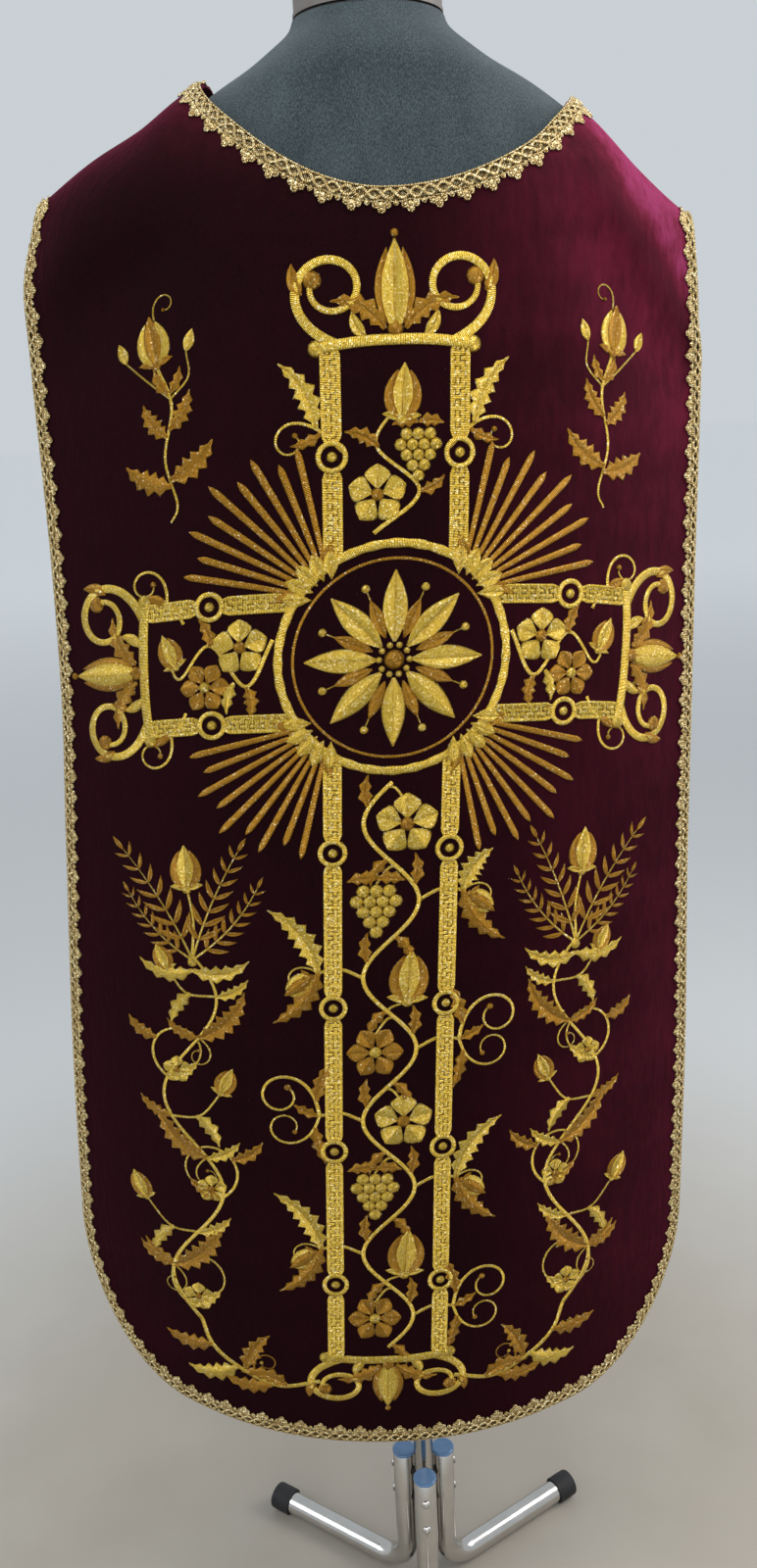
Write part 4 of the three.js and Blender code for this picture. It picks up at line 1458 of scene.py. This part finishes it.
    def frond(self, base, angle, length, bend=0.0, pairs=7, tone=BRONZE, under=BRIGHT):
        """A fern: narrow leaves in open pairs along a thin stem, shorter towards the tip."""
        stem = turning_route(base, angle, length, bend, 1.0, 2 * pairs + 3)
        self.pad(stem, np.linspace(1.3, 0.6, len(stem)), under, 0.9)
        for at in range(3, 2 * pairs + 3, 2):
            share = at / (len(stem) - 1)
            size = length * (0.25 - 0.14 * share)
            for side in (-1, 1):
                out = angle + bend * share + side * 56
                self.leaf(stem[at], out, size, 0.24 * size, -side * 26, tone, 0.8, count=8)
        self.leaf(stem[-1], angle + bend, 0.13 * length, 0.04 * length, 0, tone, 0.9, count=7)

    def finish(self, name):
        """Lays all the shapes on the back and makes them one piece."""
        flat = self.shapes.all_points()
        # The height off the cloth, as rise, gives the thread painted shade low down.
        self.pieces.append(mesh_object(
            name, on_back(*flat.T), self.shapes, [BRIGHT_GOLD, BRONZE_GOLD], "embroidery",
            rise=flat[:, 2] / 1.1,
        ))


print("section points:", len(SATIN), "satin,", len(VEINED), "veined")

# %% [markdown]
# ### The cross
#
# Two bands of basket-work edge each arm of the cross. The basket pattern is real relief: the
# band's top rises and falls in small bricks that lie one way and then the other. Small rings
# with a bead break each band's length.

# %% Bands of the cross
BAND_HALF = 8.2
BAND_OFFSET = 50.0
RING_RADIUS = 94.0
BRICK = 4.1
UPPER_END, SIDE_END, LOWER_END = 243.0, 206.0, 688.0
LINK_RADIUS = 10.5
BAND_START = float(np.sqrt((1.01 * RING_RADIUS) ** 2 - BAND_OFFSET**2))  # just off the ring
CORD_AT, CORD_HALF = 0.84, 0.17  # the edge cords, as shares of BAND_HALF


def basket_band(stitches, start, end, step=1.3):
    """A straight band, a little narrower at its ends. Its edges are raised cords; between
    them the rise is a sine across or along the band, by turns from brick to brick."""
    length = hypot(*(end - start))
    u = np.linspace(0, length, int(length / step) + 1)[:, None]
    inner = np.linspace(0.62, -0.62, 9)
    v = np.concatenate([[1, 0.93, 0.8, 0.7], inner, [-0.7, -0.8, -0.93, -1]])
    across = v * BAND_HALF
    brick = np.floor(u / BRICK) + np.floor(across / BRICK)
    ridge = np.abs(np.sin(pi * np.where(brick % 2 == 0, across, u) / BRICK)) ** 1.5
    cord = np.sqrt(np.maximum(1 - ((np.abs(v) - CORD_AT) / CORD_HALF) ** 2, 0))
    twist = 0.8 + 0.2 * np.cos(4.5 * u)
    lift = np.where(np.abs(v) < 0.66, 0.1 + ridge, 0.2 + 1.15 * cord * twist)
    lift[:, [0, -1]] = 0.0
    lift = np.concatenate([lift, np.full((len(u), 2), -0.4)], 1)  # the two points underneath
    across = np.concatenate([across, [-0.9 * BAND_HALF, 0.9 * BAND_HALF]])
    narrow = 0.62 + 0.38 * np.minimum(np.minimum(u, length - u) / 6, 1) ** 0.6
    direction = (end - start) / length
    normal = np.array([-direction[1], direction[0]])
    flat = start + u[..., None] * direction + (across * narrow)[..., None] * normal
    points = np.concatenate([flat, lift[..., None]], -1)
    uv = np.stack(np.broadcast_arrays(u, across), -1)
    stitches.shapes.add(points, sweep_faces(*points.shape[:2]), uv, BRIGHT)


def linked_band(stitches, start, end, links):
    """A band broken by small rings; links are the rings' shares of its length."""
    start, end = np.asarray(start, float), np.asarray(end, float)
    direction = (end - start) / hypot(*(end - start))
    stops = [start]
    for share in links:
        place = start + (end - start) * share
        stitches.pad(circle(LINK_RADIUS, 28) + place, 2.3, BRIGHT, 1.5, ring=True)
        stitches.dot(place, 4.4, BRIGHT, 1.9, 12)
        stops += [place - direction * LINK_RADIUS, place + direction * LINK_RADIUS]
    stops.append(end)
    for low, high in zip(stops[::2], stops[1::2]):
        basket_band(stitches, low, high)


bands = Stitching()
for side in (-1, 1):
    x = side * BAND_OFFSET
    linked_band(bands, (x, BAND_START), (x, UPPER_END), [0.5])
    linked_band(bands, (x, -BAND_START), (x, -LOWER_END), [0.14, 0.38, 0.62, 0.86])
    for h in (-BAND_OFFSET, BAND_OFFSET):
        linked_band(bands, (side * BAND_START, h), (side * SIDE_END, h), [0.55])
bands.finish("cross_bands")

# %% [markdown]
# Each arm ends in a bud between two scrolls. It is drawn once, pointing up, and set out
# turned for the other three arms.


# %% Arm ends
def arm_end(end):
    """A bar across the two bands, a scroll from each band, and a bud in the middle."""
    end.pad(spline([(-60, -1), (-30, 3), (0, 4), (30, 3), (60, -1)], 24), 4.4, BRIGHT, 1.5)
    for half in end.halves():
        half.curl((46, 2), 28, 186, 450, 8.6, BRIGHT, power=1.5)
        half.leaf((8, 12), 64, 50, 17, -70, BRONZE, 0.8, 5)
        half.leaf((70, 40), 56, 26, 11, 40, BRONZE, 0.8)
        half.leaf((22, 6), 38, 24, 10, 50, BRIGHT, 0.9)
        half.dot((60, -1), 6.6, BRIGHT, 1.9, 12)
        half.leaf((6, 16), 77, 58, 13, 26, BRONZE, 0.85)
    end.leaf((0, 8), 90, 72, 23, 0, BRIGHT, 0.92, count=16, rise=1.9)
    end.dot((0, 13), 6.4, BRONZE, 2.2, 12)
    end.dot((0, 84), 3.2, BRONZE, 1.8)


ends = Stitching()
for origin, turn, rise in (
    ((0, UPPER_END), 0, 0.93), ((-SIDE_END, 0), 90, 0.86), ((SIDE_END, 0), -90, 0.80),
    ((0, -LOWER_END), 180, 0.72),
):
    arm_end(ends.inside(origin, turn, rise=rise))
ends.finish("cross_ends")

# %% [markdown]
# The crossing holds a ring with a star-shaped flower. Rays fan out in the four corners, long
# and short by turns, each fan from a small shell.

# %% Medallion and rays
BEADED = 3.9 + 0.4 * np.cos(64 * pi * np.arange(128) / 128)  # half width of the beaded ring
RAY = table(
    "share half", (0, 1.55), (0.04, 2.17), (0.3, 2.635), (0.6, 2.945), (0.88, 3.1),
    (0.93, 2.945), (0.97, 1.705), (1, 0.248),
)
RAYS_EACH, RAY_STEP = 9, 8.1
FAN_FOCUS = 50.0

medal = Stitching()
medal.pad(circle(RING_RADIUS, 128), BEADED, BRIGHT, 1.5, ring=True)
medal.pad(circle(RING_RADIUS - 12, 96), 1.4, BRONZE, 0.9, ring=True)
for k in range(8):
    petal, between_petals = medal.inside(turn=45 * k), medal.inside(turn=45 * k + 22.5)
    petal.leaf((15, 0), 0, 58, 21, 0, BRIGHT, 0.9, count=14, rise=1.8)
    between_petals.leaf((19, 0), 0, 34, 12, 0, BRONZE, 1.0)
    between_petals.stem([(50, 0), (60, 0)], 1.6, 1.2, BRIGHT, 5)
    between_petals.dot((63, 0), 3.8, BRIGHT)
for k in range(10):
    medal.dot(polar(36 * k, 12.5), 3.0, BRIGHT, 1.8, 8)
medal.dot((0, 0), 8.5, BRONZE, 2.4, 16)
medal.finish("medallion")

rays = Stitching()
for corner in range(4):
    fan = rays.inside(turn=90 * corner)
    for k in range(RAYS_EACH):
        off = k - (RAYS_EACH - 1) / 2
        start, end = 34.0 + 0.5 * abs(off), 136.0 - 3.2 * abs(off) - 11 * (k % 2)
        reach = start + (end - start) * RAY["share"]
        route = FAN_FOCUS + np.outer(reach, polar(45 + RAY_STEP * off))
        fan.pad(route, RAY["half"], BRONZE, 1.3)
    for angle in (3, 24, 45, 66, 87):
        base = FAN_FOCUS + polar(angle, 17)
        fan.leaf(base, angle, 24, 13, 0, BRIGHT, 1.3, count=8, rise=1.9)
    for side in (-1, 1):
        base = polar(45 + side * 6, RING_RADIUS + 5)
        fan.leaf(base, 45 + side * 88, 26, 9, -side * 30, BRONZE, 0.8)
rays.finish("corner_rays")

# %% [markdown]
# ### Vines in the arms
#
# A stem waves down the shaft between the bands. Each bend holds a flower, a cluster of
# berries or a bud by turns, and scrolls and leaves reach out over the bands. It is drawn to
# the right, and mirrored at the bends where the stem is on the left.

# %% Shaft vine
SHAFT_TOP, SHAFT_FOOT, WAVE, SWAY = -104.0, -676.0, 143.0, 24.0


def vine_at(h, side=1):
    """x = SWAY times the sine of the height, one turn each WAVE, mirrored with side -1."""
    return np.array([side * SWAY * np.sin(2 * pi * (h - SHAFT_TOP) / WAVE), h])


vine = Stitching()
vine.pad(vine_at(np.linspace(SHAFT_FOOT, SHAFT_TOP, 150)).T, 2.1, BRIGHT, 1.2)
for bend in range(8):
    side = -1 if bend % 2 == 0 else 1  # the stem is on this side here
    kind = bend % 4
    height = SHAFT_TOP - WAVE * (bend + 0.5) / 2
    part = vine.inside((0, height), mirror=side < 0)
    over, at, above, under = (vine_at(height + up, side) - (0, height) for up in (32, 14, 0, -33))
    if kind == 2:
        part.tulip((-15, -25), 94, 46)
        part.stem([under, under + (-5, 4), (-15, -25)], 3.0, 2.4, BRIGHT, 10)
    else:
        if kind == 0:
            part.rose((-13, -2), 27, 90, 5)
        elif kind == 1:
            part.berries((-13, 21), -90, 56)
        else:
            part.rose((-13, -2), 25, 60, 6, BRONZE, BRIGHT)
        part.stem([over, over + (-7, -2), (-13, 16)], 3.0, 2.4, BRIGHT, 10)
    part.leaf(at, 66, 30, 12, 46, BRONZE, 0.8, 3)
    part.leaf(under, -28, 30, 12, -60, BRONZE, 0.8, 3)
    if bend == 0:
        continue  # the corner rays lie over the band here
    fork = (63, 6)
    part.stem([above, (44, 9), fork], 3.6, 3.4, BRIGHT, 14)
    if kind in (0, 3):
        rising = part.curl(fork, 82, 142, -410, 4.0, BRIGHT)
        falling = part.curl(fork, -74, 112, 380, 3.2, BRIGHT)
        part.leaf(rising[5], 96, 42, 14, 22, BRONZE, 0.78, 4)
        part.leaf(falling[5], -94, 40, 13, -18, BRONZE, 0.78, 4)
        part.leaf(fork, 12, 26, 11, 30, BRONZE, 0.85, 3)
    else:
        part.leaf(fork, 80, 46 if bend == 1 else 76, 21, -52, BRIGHT, 0.74, 7)
        part.leaf(fork, -78, 66, 20, 54, BRONZE, 0.74, 6)
        part.curl(fork, 32, 58, -330, 2.4, BRIGHT)
        part.tulip((69, 2), -38, 27, BRONZE, BRIGHT)
vine.finish("shaft_vine")

# %% [markdown]
# The short arms carry the same vine in a smaller space: a waving stem, flowers in its bends,
# and leaves that lie over the bands.

# %% Arm vines
arms = Stitching()
for arm in arms.halves():
    arm.stem([(98, 20), (120, -18), (150, 18), (176, -8), (186, 6)], 4.0, 2.4, BRIGHT, 40)
    arm.rose((125, 15), 23, 90, 5)
    arm.rose((155, -17), 21, 60, 6, BRONZE, BRIGHT)
    arm.tulip((180, 2), 68, 28)
    arm.leaf((120, -18), -120, 28, 13, 50, BRONZE, 0.8, 4)
    arm.leaf((150, 17), 94, 26, 12, -50, BRONZE, 0.8, 3)
    arm.leaf((130, -14), -56, 28, 12, -40, BRIGHT, 0.8, 3)
    for band in (arm.inside(rise=-1), arm):  # the lower band and the upper one
        band.stem([(172, 38), (178, 50), (186, 56)], 3.2, 3.2, BRIGHT, 10)
        band.curl((186, 56), 96, 84, -380, 3.2, BRIGHT)
        band.leaf((186, 56), 28, 20, 9, 0, BRONZE, 0.9, count=7)
arms.stem([(-18, 102), (18, 134), (-16, 170), (6, 204)], 4.0, 2.6, BRIGHT, 34)
arms.tulip((4, 188), 86, 38)
arms.rose((-15, 132), 23, 90, 5)
arms.berries((17, 186), -90, 46)
arms.leaf((-14, 168), 130, 30, 13, 50, BRONZE, 0.8, 4)
arms.leaf((18, 134), 0, 24, 11, 60, BRONZE, 0.8, 3)
for half in arms.halves():
    half.stem([(42, 166), (54, 178), (62, 184)], 3.2, 3.2, BRIGHT, 10)
    half.leaf((62, 184), 86, 58, 18, -50, BRIGHT, 0.74, 6)
    half.curl((62, 184), 26, 74, -350, 3.0, BRIGHT)
    half.leaf((58, 180), -40, 26, 10, 40, BRONZE, 0.8, 3)
arms.finish("arm_vines")

# %% [markdown]
# ### Sprays
#
# A scrolling branch climbs each side below the arms: its stem sways, and toothed leaves,
# scrolls and flowers leave it by turns, up to a crown of light fronds. Above the arms sits a
# short sprig. The left and right ones are the same drawing, mirrored.

# %% Side sprays and upper sprigs
SPRAY_FOOT, SPRAY_TOP = -655.0, -262.0
SPRAY_AT, SPRAY_SWAY, SPRAY_WAVE = 180.0, 27.0, 200.0


def spray_stem(h):
    """x = SPRAY_AT + SPRAY_SWAY times the sine of the height, one turn each SPRAY_WAVE."""
    sway = SPRAY_SWAY * np.sin(2 * pi * (h - SPRAY_FOOT) / SPRAY_WAVE)
    return np.array([SPRAY_AT + sway, h])


def side_spray(spray):
    """Leaves at the foot, nine nodes up a swaying stem, and a crown of fronds. A node holds a
    scroll with a flower, a leaf or a bud by turns, to the right and to the left by turns."""
    heights = np.linspace(SPRAY_FOOT, SPRAY_TOP, 110)
    spray.pad(spray_stem(heights).T, np.linspace(2.2, 1.4, 110), BRIGHT, 1.2)
    foot = [(66, -716), (106, -724), (146, -706), (170, -684), (180, -655)]
    spray.stem(foot, 4.8, 4.4, BRIGHT, 30)
    for base, angle, length, bend, tone in (
        ((98, -724), 44, 48, -60, BRONZE), ((112, -724), -20, 48, 50, BRONZE),
        ((146, -706), -44, 54, 70, BRIGHT), ((138, -708), 100, 50, 40, BRONZE),
        ((170, -684), -16, 50, 50, BRONZE),
    ):
        spray.leaf(base, angle, length, 0.38 * length, bend, tone, 0.75, 5)
    spray.curl((128, -714), 74, 66, 380, 2.4, BRONZE)
    for k, h in enumerate(np.linspace(SPRAY_FOOT + 16, SPRAY_TOP - 40, 9)):
        size = 1.05 - 0.02 * k
        node = spray.inside(spray_stem(h), mirror=k % 2 == 1)
        if k % 3 == 0:
            shoot = node.curl((0, 0), 38, 150 * size, 330, 3.2, BRIGHT, bud=False, power=1.2)
            node.rose(shoot[-1], 15 * size, 90, 5, BRIGHT, BRONZE)
            node.leaf(shoot[len(shoot) // 3], 6, 38 * size, 14, 60, BRONZE, 0.75, 4)
        elif k % 3 == 1:
            node.leaf((0, 0), 18, 74 * size, 23 * size, 60, BRONZE, 0.72, 7)
            node.curl((0, 0), -38, 66 * size, -330, 2.2, BRIGHT)
        else:
            tip = polar(30, 58 * size)
            node.stem([(0, 0), polar(6, 28), tip], 2.8, 2.2, BRIGHT, 12)
            node.tulip(tip, 66, 28 * size)
            node.leaf(polar(6, 24), -32, 42 * size, 15, -50, BRIGHT, 0.75, 4)
        tone = BRONZE if k % 2 else BRIGHT
        node.leaf((0, 0), 176, 40 * size, 13 * size, -56, tone, 0.75, 5)
    crown = spray.inside(spray_stem(SPRAY_TOP))
    for angle, length, bend in ((146, 92, -30), (106, 112, 14), (68, 122, -18), (32, 88, 30)):
        crown.frond((0, -4), angle, length, bend)
    crown.stem([(0, 0), (-2, 34), (3, 66)], 3.0, 2.4, BRIGHT, 14)
    crown.tulip((3, 64), 88, 38)
    for half in crown.halves():
        half.leaf((0, -14), -26, 56, 16, 74, BRIGHT, 0.75, 5)
    crown.dot((0, -6), 5.0, BRIGHT, 1.9, 12)


def upper_sprig(sprig):
    """A curved twig with paired leaves, two buds and a flower at its tip."""
    twig = spline([(178, 122), (172, 136), (180, 172), (172, 212), (182, 244)], 34)
    sprig.pad(twig, np.linspace(1.0, 1.5, 34), BRIGHT, 1.1)
    for at, angle, length, bend, teeth in (
        (12, 6, 44, 46, 5), (13, 166, 46, -46, 5), (20, 34, 34, 46, 5), (21, 146, 34, -46, 5),
        (27, 40, 24, 46, 3), (27, 140, 22, -46, 3),
    ):
        sprig.leaf(twig[at], angle, length, 0.42 * length, bend, BRONZE, 0.8, teeth)
    sprig.tulip(twig[-1], 84, 34, BRONZE, BRIGHT)
    for side in (-1, 1):
        bud = twig[-1] + (side * 24, 6)
        sprig.stem([twig[26], twig[26] + (side * 15, 14), bud], 2.0, 1.6, BRIGHT, 10)
        sprig.leaf(bud, 90 - side * 20, 17, 9, 0, BRIGHT, 0.9, count=7)
    sprig.curl(twig[-1] + (0, 34), 80, 40, 300, 1.8, BRIGHT)


for name, draw in (("side_sprays", side_spray), ("upper_sprigs", upper_sprig)):
    pair = Stitching()
    draw(pair)
    draw(pair.inside(mirror=True))
    pair.finish(name)
print("pieces of embroidery:", len(Stitching.pieces))
